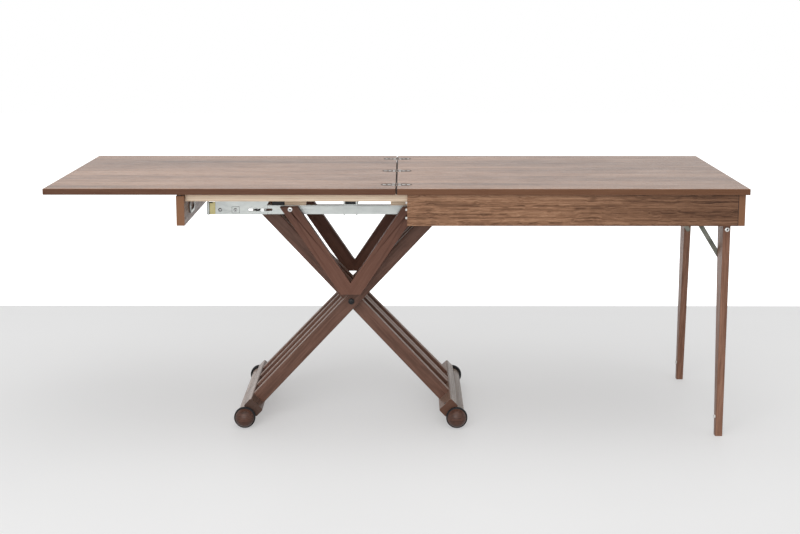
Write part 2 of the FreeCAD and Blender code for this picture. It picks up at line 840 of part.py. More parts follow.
finished(cross_rod("pivot_shaft", "pivot_shaft_radius", "pivot_x", "pivot_height", "pivot_cap_start"))
pivot_caps = []
washers = []
SLAT_ORDER = ("leg_b_inner_offset", "leg_a_inner_offset", "leg_b_outer_offset", "leg_a_outer_offset")
for side, sign in SIDES.items():
    low = span(sign, "pivot_cap_start", "pivot_cap_start + pivot_cap_thickness")[0]
    pivot_caps.append(rod(
        side + "_pivot_cap", ALONG_Y, "pivot_cap_radius",
        ("pivot_x", low, "pivot_height"), "pivot_cap_thickness",
    ))
    for n, (inner, outer) in enumerate(zip(SLAT_ORDER, SLAT_ORDER[1:]), 1):
        play = "(slat_thickness + washer_play) / 2"
        low, high = span(sign, f"{inner} + {play}", f"{outer} - {play}")
        disc = rod(
            f"{side}_washer_disc_{n}", ALONG_Y, "washer_radius", ("pivot_x", low, "pivot_height"),
            f"({high}) - ({low})",
        )
        hole = rod(
            f"{side}_washer_hole_{n}", ALONG_Y, "pivot_shaft_radius",
            ("pivot_x", f"{low} - overrun", "pivot_height"), f"({high}) - ({low}) + 2 * overrun",
        )
        washers.append(cut(f"{side}_washer_{n}", disc, hole))
group("pivot_caps", pivot_caps)
group("pivot_washers", washers)

# Wheels: a rubber tyre on a turned wooden cap, on the axle's end


def flat_ring(label, radius, hole, width):
    """A flat ring about its body's Y axis."""
    body = named("PartDesign::Body", label)
    sketch = sketch_on(body, "XZ_Plane")
    for size in (radius, hole):
        add_circle(sketch, ("0", "0"), size)
    pad_both_ways(body, sketch, width)
    return body


def outer_rim(radius):
    """Chooses a ring's two rims that lie outside a radius."""
    def chosen(start, to):
        return start.y * to.y > 0 and start.Length > radius
    return chosen


def wheel(label, sign, x):
    def disc(name, radius, inner, outer):
        low, high = span(sign, inner, outer)
        return rod(f"{label}_{name}", ALONG_Y, radius, (x, low, "wheel_radius"), f"({high}) - ({low})")

    ring = flat_ring(label + "_tyre", "wheel_radius", "hub_radius", "tyre_width")
    rounded(ring, "tyre_edge_radius", outer_rim(value("(wheel_radius + hub_radius) / 2")))
    finished(place(ring, x, f"{sign} * (tyre_start + tyre_width / 2)", "wheel_radius"))
    ball = named("Part::Sphere", label + "_cap_ball")
    bind(ball, "Radius", "cap_sphere")
    place(ball, x, f"{sign} * (tyre_end + cap_depth - cap_sphere)", "wheel_radius")
    dome = named("Part::MultiCommon", label + "_cap_dome")
    dome.Shapes = [ball, disc("cap_disc", "cap_radius", "tyre_end", "tyre_end + cap_depth + overrun")]
    turned_cap = fuse(label + "_cap_blank", [dome, disc("hub", "hub_radius", "hub_start", "tyre_end")])
    socket = disc("axle_socket", "axle_radius + running_gap", "hub_start - overrun", "axle_end + wheel_gap")
    finished(cut(label + "_wheel_cap", turned_cap, socket))


for end, hand in ENDS.items():
    x = f"pivot_x + {hand} * foot_spread"
    finished(cross_rod(end + "_axle_rod", "axle_radius", x, "wheel_radius", "axle_end"))
    for side, sign in SIDES.items():
        wheel(f"{side}_{end}", sign, x)

# Fold-out end legs, with the steel plates that carry them and their braces


def end_leg(side, sign, pivot, brace_hole):
    inner_top = f"{sign} * (end_leg_face - end_leg_top_depth)"
    inner_foot = f"{sign} * (end_leg_face - end_leg_foot_depth)"
    face = f"{sign} * end_leg_face"
    corners = [(face, "0"), (face, "end_leg_top"), (inner_top, "end_leg_top"), (inner_foot, "0")]
    blank = prism(side + "_end_leg_blank", "YZ_Plane", corners, "end_leg_thickness")
    rounded(blank, "end_leg_edge_radius", runs_along(2))
    place(blank, "end_leg_x", "0", "0")
    finished(cut(side + "_end_leg", blank, fuse(side + "_end_leg_holes", [pivot, brace_hole])))
    finished(rod(
        side + "_leg_bumper", ALONG_X, "bumper_radius",
        ("end_leg_x - end_leg_thickness / 2 - bumper_thickness",
         f"{sign} * (end_leg_face - end_leg_foot_depth / 2)", "bumper_height"),
        "bumper_thickness",
    ))


def leg_plate(side, sign, bolt):
    """A steel plate under the leaf, with an ear for the leg's pivot and a window for the brace's pin."""
    ear_left, ear_foot = "box_end_inside - leg_plate_ear", "end_leg_pivot_height - leg_plate_ear_drop"
    corners = [
        ("leg_plate_left", "apron_bottom"), (ear_left, "apron_bottom"), (ear_left, ear_foot),
        ("box_end_inside", ear_foot), ("box_end_inside", "top_underside"),
        ("leg_plate_left", "top_underside"),
    ]
    web = prism(side + "_leg_plate_web", "XZ_Plane", corners, "leg_plate_thickness")
    place(web, "0", f"{sign} * (leg_plate_face - leg_plate_thickness / 2)", "0")
    flange = box(
        side + "_leg_plate_flange", ("leg_plate_left", "box_end_inside"),
        span(sign, "leg_plate_face - leg_plate_flange", "leg_plate_face"),
        ("top_underside - leg_plate_thickness", "top_underside"),
    )
    window = box(
        side + "_brace_window", ("window_left", "window_right"),
        span(sign, "leg_plate_face - leg_plate_thickness - overrun", "leg_plate_face + overrun"),
        ("brace_pin_height - window_half - brace_window_dip", "brace_pin_height + window_half"),
    )
    blank = fuse(side + "_leg_plate_blank", [web, flange])
    return cut(side + "_leg_plate", blank, fuse(side + "_leg_plate_cuts", [window, bolt]))


def leg_bolt(side, sign):
    """The leg's pivot: a bolt with its head on the leg's outer face and its nut behind the plate's ear."""
    nut_face = "leg_plate_face - leg_plate_thickness"
    bolt = headed(
        side + "_leg_bolt_shank", sign, "leg_bolt_radius", "leg_bolt_head_radius",
        "end_leg_x", "end_leg_pivot_height", f"{nut_face} - leg_bolt_nut", "end_leg_face", "leg_bolt_head",
    )
    low, high = span(sign, f"{nut_face} - leg_bolt_nut", nut_face)
    nut = rod(
        side + "_leg_bolt_nut", ALONG_Y, "leg_bolt_head_radius", ("end_leg_x", low, "end_leg_pivot_height"),
        f"({high}) - ({low})",
    )
    return fuse(side + "_leg_bolt", [bolt, nut])


def brace(side, sign):
    """A flat bar pinned to the leg, whose upper pin stands in the window of the leg's plate."""
    half = "brace_width / 2"
    corners = [
        (f"-{half}", f"-{half}"), (f"brace_length + {half}", f"-{half}"),
        (f"brace_length + {half}", half), (f"-{half}", half),
    ]
    bar = prism(side + "_brace_bar", "XZ_Plane", corners, "brace_thickness")
    rounded(bar, "brace_width / 2 - running_gap", runs_along(1))
    place(
        bar, "end_leg_x", f"{sign} * (brace_face - brace_thickness / 2)", "brace_foot_height",
        ((0, 1, 0), "brace_angle - 180"),
    )
    low, high = span(sign, "brace_inside", "brace_face + brace_pin_depth")
    foot_pin = rod(
        side + "_brace_foot_pin", ALONG_Y, "brace_pin_radius", ("end_leg_x", low, "brace_foot_height"),
        f"({high}) - ({low})",
    )
    low, high = span(sign, "leg_plate_face - leg_plate_thickness - leg_plate_gap", "brace_face")
    head_pin = rod(
        side + "_brace_head_pin", ALONG_Y, "brace_pin_radius",
        ("end_leg_x - brace_run", low, "brace_pin_height"), f"({high}) - ({low})",
    )
    finished(fuse(side + "_brace", [bar, foot_pin, head_pin]))


def leg_holes(side, sign):
    """The running holes in a leg for its pivot bolt and its brace's pin."""
    low, high = span(sign, "leg_plate_face - overrun", "end_leg_face + overrun")
    pivot = rod(
        side + "_leg_pivot_hole", ALONG_Y, "leg_bolt_radius + running_gap",
        ("end_leg_x", low, "end_leg_pivot_height"), f"({high}) - ({low})",
    )
    low, high = span(sign, "brace_inside", "brace_face + brace_pin_depth + leg_plate_gap")
    brace_hole = rod(
        side + "_leg_brace_hole", ALONG_Y, "brace_pin_radius + running_gap",
        ("end_leg_x", low, "brace_foot_height"), f"({high}) - ({low})",
    )
    return pivot, brace_hole


leg_bolts = {side: leg_bolt(side, sign) for side, sign in SIDES.items()}
for side, sign in SIDES.items():
    end_leg(side, sign, *leg_holes(side, sign))
    brace(side, sign)
group("leg_plates", [leg_plate(side, sign, leg_bolts[side]) for side, sign in SIDES.items()])
group("leg_pivot_bolts", list(leg_bolts.values()))

doc.recompute()
for item in doc.Objects:
    if "Invalid" in item.State or "Error" in item.State:
        raise RuntimeError(f"{item.Label} did not compute")
for item in parts:
    if item.Shape.isNull() or not item.Shape.isValid() or not item.Shape.Solids:
        raise RuntimeError(f"{item.Label} has no valid solid")
os.makedirs("parts", exist_ok=True)
for item in parts:
    item.Shape.exportStep(f"parts/{item.Label}.step")
print(len(parts), "pieces written")
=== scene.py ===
import json
import math

import bmesh
import bpy
from mathutils import Matrix, Vector


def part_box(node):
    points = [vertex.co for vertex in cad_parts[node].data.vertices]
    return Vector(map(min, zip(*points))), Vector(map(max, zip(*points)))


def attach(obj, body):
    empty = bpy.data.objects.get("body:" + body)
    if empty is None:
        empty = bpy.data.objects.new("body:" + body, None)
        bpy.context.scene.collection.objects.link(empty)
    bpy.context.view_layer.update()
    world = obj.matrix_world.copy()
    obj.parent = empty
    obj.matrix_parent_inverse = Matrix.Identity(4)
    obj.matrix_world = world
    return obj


# A convertible coffee and dining table, standing open on a pale studio floor. Lengths are in metres, in
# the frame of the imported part: X along the table, Y towards the rear, Z up from the floor.
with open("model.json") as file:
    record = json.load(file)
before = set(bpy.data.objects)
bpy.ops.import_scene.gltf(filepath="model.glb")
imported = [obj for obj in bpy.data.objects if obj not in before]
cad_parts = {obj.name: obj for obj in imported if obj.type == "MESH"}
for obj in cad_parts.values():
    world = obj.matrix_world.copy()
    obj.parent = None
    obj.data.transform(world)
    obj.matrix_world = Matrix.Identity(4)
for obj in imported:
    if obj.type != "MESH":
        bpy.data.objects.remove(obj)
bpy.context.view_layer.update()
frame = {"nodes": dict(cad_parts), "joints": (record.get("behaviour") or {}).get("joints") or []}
nodes = frame["nodes"]
joint_places = {joint["name"]: Vector(joint["pos_m"]) for joint in frame["joints"] if "pos_m" in joint}

MM = 0.001
SIDES = {"front": -1, "rear": 1}
ENDS = {"left": -1, "right": 1}
pivot = joint_places["leg_b_pivot"]
left_axle = joint_places["height_fold"]
leg_angle = math.atan2(pivot.z - left_axle.z, pivot.x - left_axle.x)
table_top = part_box("right_leaf")[1].z


# Shader helpers

WHITE = (1.0, 1.0, 1.0, 1.0)
# The range that most of a noise lies in
NOISE_RANGE = (0.3, 0.7)


def new_shader(name, roughness, metallic=0.0, specular=0.5):
    """A material with its node tree and its surface shader."""
    material = bpy.data.materials.new(name)
    material.use_nodes = True
    surface = material.node_tree.nodes["Principled BSDF"]
    surface.inputs["Roughness"].default_value = roughness
    surface.inputs["Metallic"].default_value = metallic
    surface.inputs["Specular IOR Level"].default_value = specular
    return material, material.node_tree, surface


def add_node(tree, kind, sockets=None, **settings):
    """A shader node. Each socket gets a plain value or is linked to another node's output."""
    item = tree.nodes.new("ShaderNode" + kind)
    for name, setting in settings.items():
        setattr(item, name, setting)
    for key, content in (sockets or {}).items():
        if isinstance(content, bpy.types.NodeSocket):
            tree.links.new(content, item.inputs[key])
        else:
            item.inputs[key].default_value = content
    return item


def calculate(tree, operation, first, second=0.0):
    return add_node(tree, "Math", {0: first, 1: second}, operation=operation).outputs[0]


def stretched_noise(tree, place, scales, detail=2.0, roughness=0.5):
    """Noise with its own number of features per metre along each axis."""
    scaled = add_node(tree, "VectorMath", {0: place, 1: scales}, operation="MULTIPLY")
    return add_node(
        tree, "TexNoise",
        {"Vector": scaled.outputs[0], "Scale": 1.0, "Detail": detail, "Roughness": roughness},
    ).outputs["Fac"]


def remap(tree, factor, low, high, start=0.0, end=1.0):
    """A factor spread from one range to another, and held at its ends."""
    sockets = {"Value": factor, "From Min": low, "From Max": high, "To Min": start, "To Max": end}
    return add_node(tree, "MapRange", sockets).outputs["Result"]


def mix_colours(tree, factor, first, second, blend_type="MIX"):
    item = add_node(tree, "Mix", data_type="RGBA", blend_type=blend_type)
    for key, content in (("Factor", factor), ("A", first), ("B", second)):
        socket = next(s for s in item.inputs if s.name == key and s.enabled)
        if isinstance(content, bpy.types.NodeSocket):
            tree.links.new(content, socket)
        else:
            socket.default_value = content if key == "Factor" else (*content, 1.0)
    return next(s for s in item.outputs if s.enabled)


def ramp(tree, factor, stops):
    """A colour ramp through a list of places and colours."""
    item = add_node(tree, "ValToRGB", {"Fac": factor})
    for element, (place, colour) in zip(item.color_ramp.elements, (stops[0], stops[-1])):
        element.position = place
        element.color = (*colour, 1.0)
    for place, colour in stops[1:-1]:
        item.color_ramp.elements.new(place).color = (*colour, 1.0)
    return item.outputs["Color"]


def raise_surface(tree, surface, height, depth, strength):
    bump = add_node(tree, "Bump", {"Height": height, "Distance": depth, "Strength": strength})
    tree.links.new(bump.outputs["Normal"], surface.inputs["Normal"])


# Wood

TRUSS_ANGLE = math.radians(56)
GRAIN_TURNS = {
    "along_x": (0.0, 0.0, 0.0),
    "along_y": (0.0, 0.0, -math.pi / 2),
    "along_z": (0.0, math.pi / 2, 0.0),
    "leg_a": (0.0, leg_angle, 0.0),
    "leg_b": (0.0, math.pi - leg_angle, 0.0),
    "truss": (0.0, TRUSS_ANGLE, 0.0),
}
# Features per metre along and across the grain, and the detail and roughness of each noise
GRAIN_NOISES = {
    "patches": (0.9, 8.0, 2.0, 0.5),
    "bands": (1.6, 75.0, 3.0, 0.6),
    "streaks": (7.0, 300.0, 4.0, 0.65),
    "dashes": (24.0, 260.0, 2.0, 0.5),
    "pores": (42.0, 1500.0, 2.0, 0.5),
}
DRIFT_SCALES = (1.3, 7.0, 7.0)
RIPPLE_SCALES = (13.0, 28.0, 28.0)
GRAIN_DRIFT = 16 * MM
BOARD_RIPPLE = 4 * MM
APRON_RIPPLE = 5 * MM
TOP_RIPPLE = 3 * MM
STRAIGHT_RIPPLE = 2 * MM
STREAK_SHARE = 0.34
TONE_STOPS = (0.40, 0.50, 0.61)
DARK_DASHES = (0.54, 0.68)
LIGHT_DASHES = (0.44, 0.30)
PORE_RANGE = (0.56, 0.68)
PORE_TINT_SHARE = 0.5
PORE_DEPTH = 0.25 * MM
GRAIN_BUMP = 0.35
STREAK_HEIGHT_SHARE = 0.4
SHINE_SPREAD = 0.09
BAND_STREAKS = (0.1, 0.9)
BAND_TINT_SHARE = 0.85
BAND_SPECULAR = 0.12
# Dark, middle and light tone of each wood
WOOD_TONES = {
    "top": ((0.116, 0.056, 0.033), (0.290, 0.153, 0.091), (0.448, 0.262, 0.168)),
    "apron": ((0.078, 0.032, 0.014), (0.262, 0.130, 0.069), (0.430, 0.238, 0.138)),
    "end_board": ((0.120, 0.050, 0.022), (0.195, 0.085, 0.040), (0.260, 0.120, 0.058)),
    "truss": ((0.106, 0.043, 0.026), (0.140, 0.060, 0.039), (0.168, 0.077, 0.051)),
    "leg": ((0.098, 0.046, 0.030), (0.142, 0.068, 0.046), (0.180, 0.092, 0.064)),
    # The feet are paler than the slats: painted top light and sheen on the beams' long faces, paler on
    # leg_a's foot, which faces the light, than on leg_b's
    "leg_a_foot": ((0.230, 0.156, 0.124), (0.370, 0.270, 0.222), (0.510, 0.390, 0.328)),
    "leg_b_foot": ((0.126, 0.082, 0.056), (0.204, 0.143, 0.102), (0.282, 0.207, 0.152)),
    "wheel": ((0.046, 0.020, 0.013), (0.092, 0.041, 0.027), (0.138, 0.064, 0.043)),
    "end_leg": ((0.172, 0.080, 0.050), (0.266, 0.136, 0.088), (0.344, 0.182, 0.122)),
}


def facing(tree, axis):
    """How far a surface faces along an axis of its own object, from 0 to 1."""
    normal = add_node(tree, "TexCoord").outputs["Normal"]
    product = add_node(tree, "VectorMath", {0: normal, 1: axis}, operation="DOT_PRODUCT")
    return calculate(tree, "ABSOLUTE", product.outputs["Value"])


def grain_place(tree, grain):
    """Object coordinates turned so that the grain runs along X."""
    place = add_node(tree, "TexCoord").outputs["Object"]
    if grain == "truss":
        parts = add_node(tree, "SeparateXYZ", {0: place}).outputs
        across = calculate(tree, "ABSOLUTE", calculate(tree, "SUBTRACT", parts["X"], pivot.x))
        place = add_node(tree, "CombineXYZ", {"X": across, "Y": parts["Y"], "Z": parts["Z"]}).outputs[0]
    return add_node(tree, "Mapping", {"Vector": place, "Rotation": GRAIN_TURNS[grain]}).outputs["Vector"]


def wavy_place(tree, place, ripple):
    """A place pushed across the grain by a slow drift and a shorter ripple, so that the lines wander."""
    slow = stretched_noise(tree, place, DRIFT_SCALES, detail=1.0)
    short = stretched_noise(tree, place, RIPPLE_SCALES)
    push = calculate(
        tree, "ADD",
        remap(tree, slow, 0.0, 1.0, -GRAIN_DRIFT, GRAIN_DRIFT),
        remap(tree, short, 0.0, 1.0, -ripple, ripple),
    )
    offset = add_node(tree, "CombineXYZ", {"Y": push, "Z": push}).outputs[0]
    return add_node(tree, "VectorMath", {0: place, 1: offset}, operation="ADD").outputs[0]


def wood(
    name, tone, grain, ripple=BOARD_RIPPLE, gloss=0.42, dash_share=0.3, fineness=1.0, broad_share=0.16,
    specular=0.25, bands=(), shade=None,
):
    """Stained open-grain wood: broad bands, fine streaks, short dark dashes and pores along the grain.

    A band is a dull face of a board: an axis, the range of facing along it that is dull, and the tint,
    which on the feet and the slats holds painted shade or a painted highlight.
    A shade is where a board starts to darken along the grain, where it is darkest, and the tint there.
    """
    material, tree, surface = new_shader(name, gloss, specular=specular)
    dark, middle, light = WOOD_TONES[tone]
    place = wavy_place(tree, grain_place(tree, grain), ripple)

    def figure_noise(label):
        along, across, detail, roughness = GRAIN_NOISES[label]
        scales = (along, across * fineness, across * fineness)
        return stretched_noise(tree, place, scales, detail, roughness)

    streaks = figure_noise("streaks")
    dashes = figure_noise("dashes")
    shares = (
        (figure_noise("bands"), 1 - STREAK_SHARE - broad_share),
        (streaks, STREAK_SHARE),
        (figure_noise("patches"), broad_share),
    )
    parts = [calculate(tree, "MULTIPLY", noise, share) for noise, share in shares]
    figure = calculate(tree, "ADD", calculate(tree, "ADD", parts[0], parts[1]), parts[2])
    colour = ramp(tree, figure, list(zip(TONE_STOPS, (dark, middle, light))))
    colour = mix_colours(tree, remap(tree, dashes, *DARK_DASHES, 0.0, dash_share), colour, dark)
    colour = mix_colours(tree, remap(tree, dashes, *LIGHT_DASHES, 0.0, dash_share), colour, light)
    pores = remap(tree, figure_noise("pores"), *PORE_RANGE)
    colour = mix_colours(tree, calculate(tree, "MULTIPLY", pores, PORE_TINT_SHARE), colour, dark)
    if shade:
        start, end, tint = shade
        level = add_node(tree, "SeparateXYZ", {0: place}).outputs["X"]
        colour = mix_colours(tree, remap(tree, level, start, end), colour, tint, "MULTIPLY")
    dull_share = 0.0
    for axis, start, end, tint in bands:
        streaked = mix_colours(tree, remap(tree, streaks, *NOISE_RANGE, *BAND_STREAKS), dark, light)
        tinted = mix_colours(tree, BAND_TINT_SHARE, streaked, tint)
        band_share = remap(tree, facing(tree, axis), start, end)
        colour = mix_colours(tree, band_share, colour, tinted)
        dull_share = calculate(tree, "MAXIMUM", dull_share, band_share)
    if bands:
        dullness = remap(tree, dull_share, 0.0, 1.0, specular, BAND_SPECULAR)
        tree.links.new(dullness, surface.inputs["Specular IOR Level"])
    tree.links.new(colour, surface.inputs["Base Color"])
    shine = remap(tree, streaks, *NOISE_RANGE, gloss + SHINE_SPREAD, gloss - SHINE_SPREAD)
    tree.links.new(shine, surface.inputs["Roughness"])
    height = calculate(tree, "SUBTRACT", calculate(tree, "MULTIPLY", streaks, STREAK_HEIGHT_SHARE), pores)
    raise_surface(tree, surface, height, PORE_DEPTH, GRAIN_BUMP)
    return material


PLY_LAYER = 3.4 * MM
PLY_WOBBLE = 0.5 * MM
PLY_WOBBLE_SCALES = (9.0, 9.0, 0.0)
PLY_FIBRE_SCALES = (16.0, 260.0, 420.0)
PLY_FIBRE_DEPTH = 0.2 * MM
PLY_FIBRE_BUMP = 0.3
PLY_FIBRE_TONES = (-0.25, 0.3)
PLY_LAYER_RANGE = (0.38, 0.55)
PLY_LAYER_TONES = (0.15, 0.6)
PLY_LIGHT = (0.95, 0.80, 0.62)
PLY_DARK = (0.74, 0.55, 0.39)


def plywood(name):
    """Bare plywood edges: thin layers one above another, every second one darker."""
    material, tree, surface = new_shader(name, roughness=0.62, specular=0.3)
    place = add_node(tree, "TexCoord").outputs["Object"]
    level = add_node(tree, "SeparateXYZ", {0: place}).outputs["Z"]
    wobble = stretched_noise(tree, place, PLY_WOBBLE_SCALES, detail=1.0)
    level = calculate(tree, "ADD", level, remap(tree, wobble, 0.0, 1.0, -PLY_WOBBLE, PLY_WOBBLE))
    layer = calculate(tree, "PINGPONG", calculate(tree, "DIVIDE", level, PLY_LAYER), 1.0)
    fibres = stretched_noise(tree, place, PLY_FIBRE_SCALES, detail=3.0, roughness=0.6)
    shade = calculate(
        tree, "ADD",
        remap(tree, layer, *PLY_LAYER_RANGE, *PLY_LAYER_TONES),
        remap(tree, fibres, *NOISE_RANGE, *PLY_FIBRE_TONES),
    )
    tree.links.new(ramp(tree, shade, [(0.0, PLY_LIGHT), (1.0, PLY_DARK)]), surface.inputs["Base Color"])
    raise_surface(tree, surface, fibres, PLY_FIBRE_DEPTH, PLY_FIBRE_BUMP)
    return material


# Metal, rubber and plastic

STEEL_CLOUD_SCALES = (26.0, 40.0, 40.0)
STEEL_CLOUD_STOPS = (0.35, 0.65)
STEEL_LINE_SCALES = (14.0, 900.0, 900.0)
STEEL_LINE_DEPTH = 0.05 * MM
STEEL_LINE_BUMP = 0.25
STEEL_SHINE = (-0.06, 0.08)
MOULDED_PATCH_SCALES = (70.0, 70.0, 70.0)
MOULDED_SHINE = 0.06
MOULDED_BUMP = 0.4
RUBBER_DEPTH = 0.15 * MM
PLASTIC_DEPTH = 0.05 * MM
NYLON_DEPTH = 0.06 * MM
LACQUER_DEPTH = 0.04 * MM


def plated_steel(name, colours, roughness, rim_share=1.0):
    """Plated steel with soft cloudy stains and faint rolling lines along X.

    The rim share is how much of its shine is left where it is seen at a flat angle.
    """
    material, tree, surface = new_shader(name, roughness, metallic=1.0)
    surface.inputs["Specular Tint"].default_value = (rim_share, rim_share, rim_share, 1.0)
    place = add_node(tree, "TexCoord").outputs["Object"]
    clouds = stretched_noise(tree, place, STEEL_CLOUD_SCALES, detail=4.0)
    lines = stretched_noise(tree, place, STEEL_LINE_SCALES)
    colour = ramp(tree, clouds, list(zip(STEEL_CLOUD_STOPS, colours)))
    tree.links.new(colour, surface.inputs["Base Color"])
    shine = remap(tree, lines, *NOISE_RANGE, *(roughness + spread for spread in STEEL_SHINE))
    tree.links.new(shine, surface.inputs["Roughness"])
    raise_surface(tree, surface, lines, STEEL_LINE_DEPTH, STEEL_LINE_BUMP)
    return material


def moulded(name, colours, roughness, grain_per_metre, depth):
    """Rubber or plastic with a fine moulded grain and a slightly uneven colour."""
    material, tree, surface = new_shader(name, roughness, specular=0.25)
    place = add_node(tree, "TexCoord").outputs["Object"]
    patches = stretched_noise(tree, place, MOULDED_PATCH_SCALES, detail=3.0)
    fine = stretched_noise(tree, place, (grain_per_metre,) * 3)
    colour = ramp(tree, patches, list(zip(NOISE_RANGE, colours)))
    tree.links.new(colour, surface.inputs["Base Color"])
    shine = remap(tree, fine, *NOISE_RANGE, roughness - MOULDED_SHINE, roughness + MOULDED_SHINE)
    tree.links.new(shine, surface.inputs["Roughness"])
    raise_surface(tree, surface, fine, depth, MOULDED_BUMP)
    return material


ZINCS = ((0.42, 0.44, 0.43), (0.475, 0.495, 0.48))
YELLOW_ZINCS = ((0.34, 0.30, 0.13), (0.46, 0.41, 0.22))
BRIGHT_STEELS = ((0.64, 0.65, 0.65), (0.82, 0.83, 0.82))
HINGE_STEELS = ((0.19, 0.155, 0.14), (0.28, 0.235, 0.21))
NICKELS = ((0.84, 0.84, 0.82), (0.93, 0.93, 0.91))
BRACE_STEELS = ((0.13, 0.135, 0.115), (0.25, 0.255, 0.22))
DEEP_BROWNS = ((0.022, 0.012, 0.009), (0.036, 0.020, 0.015))
BROWNS = ((0.120, 0.060, 0.040), (0.165, 0.084, 0.058))
BLACKS = ((0.010, 0.010, 0.011), (0.021, 0.021, 0.023))
WHITES = ((0.74, 0.74, 0.71), (0.84, 0.84, 0.81))
zinc = plated_steel("zinc_plate", ZINCS, roughness=0.36)
yellow_zinc = plated_steel("yellow_zinc_plate", YELLOW_ZINCS, roughness=0.36)
bright_steel = plated_steel("turned_steel", BRIGHT_STEELS, roughness=0.26)
hinge_steel = plated_steel("hinge_steel", HINGE_STEELS, roughness=0.5, rim_share=0.5)
nickel = plated_steel("screw_nickel", NICKELS, roughness=0.3)
brace_steel = plated_steel("brace_steel", BRACE_STEELS, roughness=0.46)
rubber_and_shade = moulded("black_rubber", BLACKS, roughness=0.72, grain_per_metre=1400.0, depth=RUBBER_DEPTH)
black_plastic = moulded(
    "black_plastic", BLACKS, roughness=0.32, grain_per_metre=2200.0, depth=PLASTIC_DEPTH
)
white_nylon = moulded("white_nylon", WHITES, roughness=0.45, grain_per_metre=1800.0, depth=NYLON_DEPTH)
# Near-black brown for the seam strip: painted shade for the deep seam between the leaves, and a dark edge
# when the leaf is turned over
seam_lacquer_and_shade = moulded(
    "seam_lacquer_and_shade", DEEP_BROWNS, roughness=0.6, grain_per_metre=900.0, depth=LACQUER_DEPTH
)
brown_lacquer = moulded(
    "brown_lacquer", BROWNS, roughness=0.42, grain_per_metre=900.0, depth=LACQUER_DEPTH
)
bare_ply = plywood("bare_plywood")

# Dull bands on the faces along an axis or away from it: the axis, the range of facing and the tint
DEPTH_AXIS = (0, 1, 0)
HEIGHT_AXIS = (0, 0, 1)
ALONG = (0.45, 0.75)
STRAIGHT_ON = (0.75, 0.95)
AWAY = (0.75, 0.45)
LEAF_BANDS = {
    "left": (HEIGHT_AXIS, *AWAY, (0.096, 0.039, 0.022)),
    "right": (HEIGHT_AXIS, *AWAY, (0.140, 0.060, 0.030)),
}
BOARD_BAND = (DEPTH_AXIS, *ALONG, (0.252, 0.126, 0.069))
# The slats' narrow edges are paler: a painted highlight for the top light and sheen on them
SLAT_HIGHLIGHT_BAND = (DEPTH_AXIS, *AWAY, (0.360, 0.255, 0.212))
# The way each leg leans, its foot's specular level, the tint on the beam's inner face, which is painted
# shade cast by the slats, and the tint on the ends, which is the darker end grain; both tints are darker
# on leg_a's foot, painted shade on the side away from the light
FEET = {
    "leg_a": (1, 0.5, (0.090, 0.050, 0.036), (0.042, 0.017, 0.011)),
    "leg_b": (-1, 0.22, (0.230, 0.140, 0.105), (0.115, 0.050, 0.033)),
}
# Where along X the leaves and the aprons start to darken, where they are darkest, and the tint there
LEAF_SHADES = {"left": (-0.6, 0.0, (0.86, 0.85, 0.86)), "right": (0.2, 1.0, (0.78, 0.80, 0.83))}
APRON_SHADE = (0.40, 1.0, (0.54, 0.50, 0.49))
apron_wood = wood(
    "apron_wood", "apron", "along_x",
    ripple=APRON_RIPPLE, dash_share=0.5, fineness=2.8, shade=APRON_SHADE,
)
end_board_wood = wood("end_board_wood", "end_board", "along_y", bands=[BOARD_BAND])
truss_wood = wood("truss_wood", "truss", "truss", gloss=0.48, dash_share=0.1)
wheel_wood = wood("wheel_wood", "wheel", "along_x", ripple=STRAIGHT_RIPPLE, gloss=0.34, specular=0.3)
end_leg_wood = wood("end_leg_wood", "end_leg", "along_z", ripple=STRAIGHT_RIPPLE)
slat_woods = {
    leg: wood(leg + "_wood", "leg", leg, ripple=STRAIGHT_RIPPLE, dash_share=0.15, bands=[SLAT_HIGHLIGHT_BAND])
    for leg in ("leg_a", "leg_b")
}

# The material of each solid piece

paint = {}
for side in SIDES:
    paint[side + "_apron"] = apron_wood
    paint[side + "_truss"] = truss_wood
    paint[side + "_end_leg"] = end_leg_wood
    paint[side + "_rail"] = zinc
    paint[side + "_brace"] = brace_steel
    paint[side + "_leg_bumper"] = white_nylon
    for end in ENDS:
        paint[f"{side}_{end}_tyre"] = rubber_and_shade
        paint[f"{side}_{end}_wheel_cap"] = wheel_wood
    for leg, slat_wood in slat_woods.items():
        for rank in ("outer", "inner"):
            paint[f"{leg}_{side}_{rank}_slat"] = slat_wood
for end in ENDS:
    paint[end + "_leaf"] = wood(
        end + "_top_wood", "top", "along_x",
        ripple=TOP_RIPPLE, gloss=0.32, dash_share=0.4, broad_share=0.4, specular=0.35,
        bands=[LEAF_BANDS[end]], shade=LEAF_SHADES[end],
    )
    paint[end + "_end_board"] = end_board_wood
    paint[end + "_axle_rod"] = bright_steel
    paint[end + "_hinge_plates"] = hinge_steel
for leg, (hand, specular, inside_shade_tint, end_tint) in FEET.items():
    leg_axis = (hand * math.cos(leg_angle), 0, math.sin(leg_angle))
    inside_shade_band = (leg_axis, *STRAIGHT_ON, inside_shade_tint)
    end_band = (DEPTH_AXIS, *ALONG, end_tint)
    for part, bands in (("_foot_beam", [inside_shade_band, end_band]), ("_foot_roller", [end_band])):
        paint[leg + part] = wood(
            leg + part + "_wood", leg + "_foot", "along_y", gloss=0.32, specular=specular, bands=bands
        )
    paint[leg + "_glide_shaft"] = bright_steel
    paint[leg + "_glide_blocks"] = white_nylon
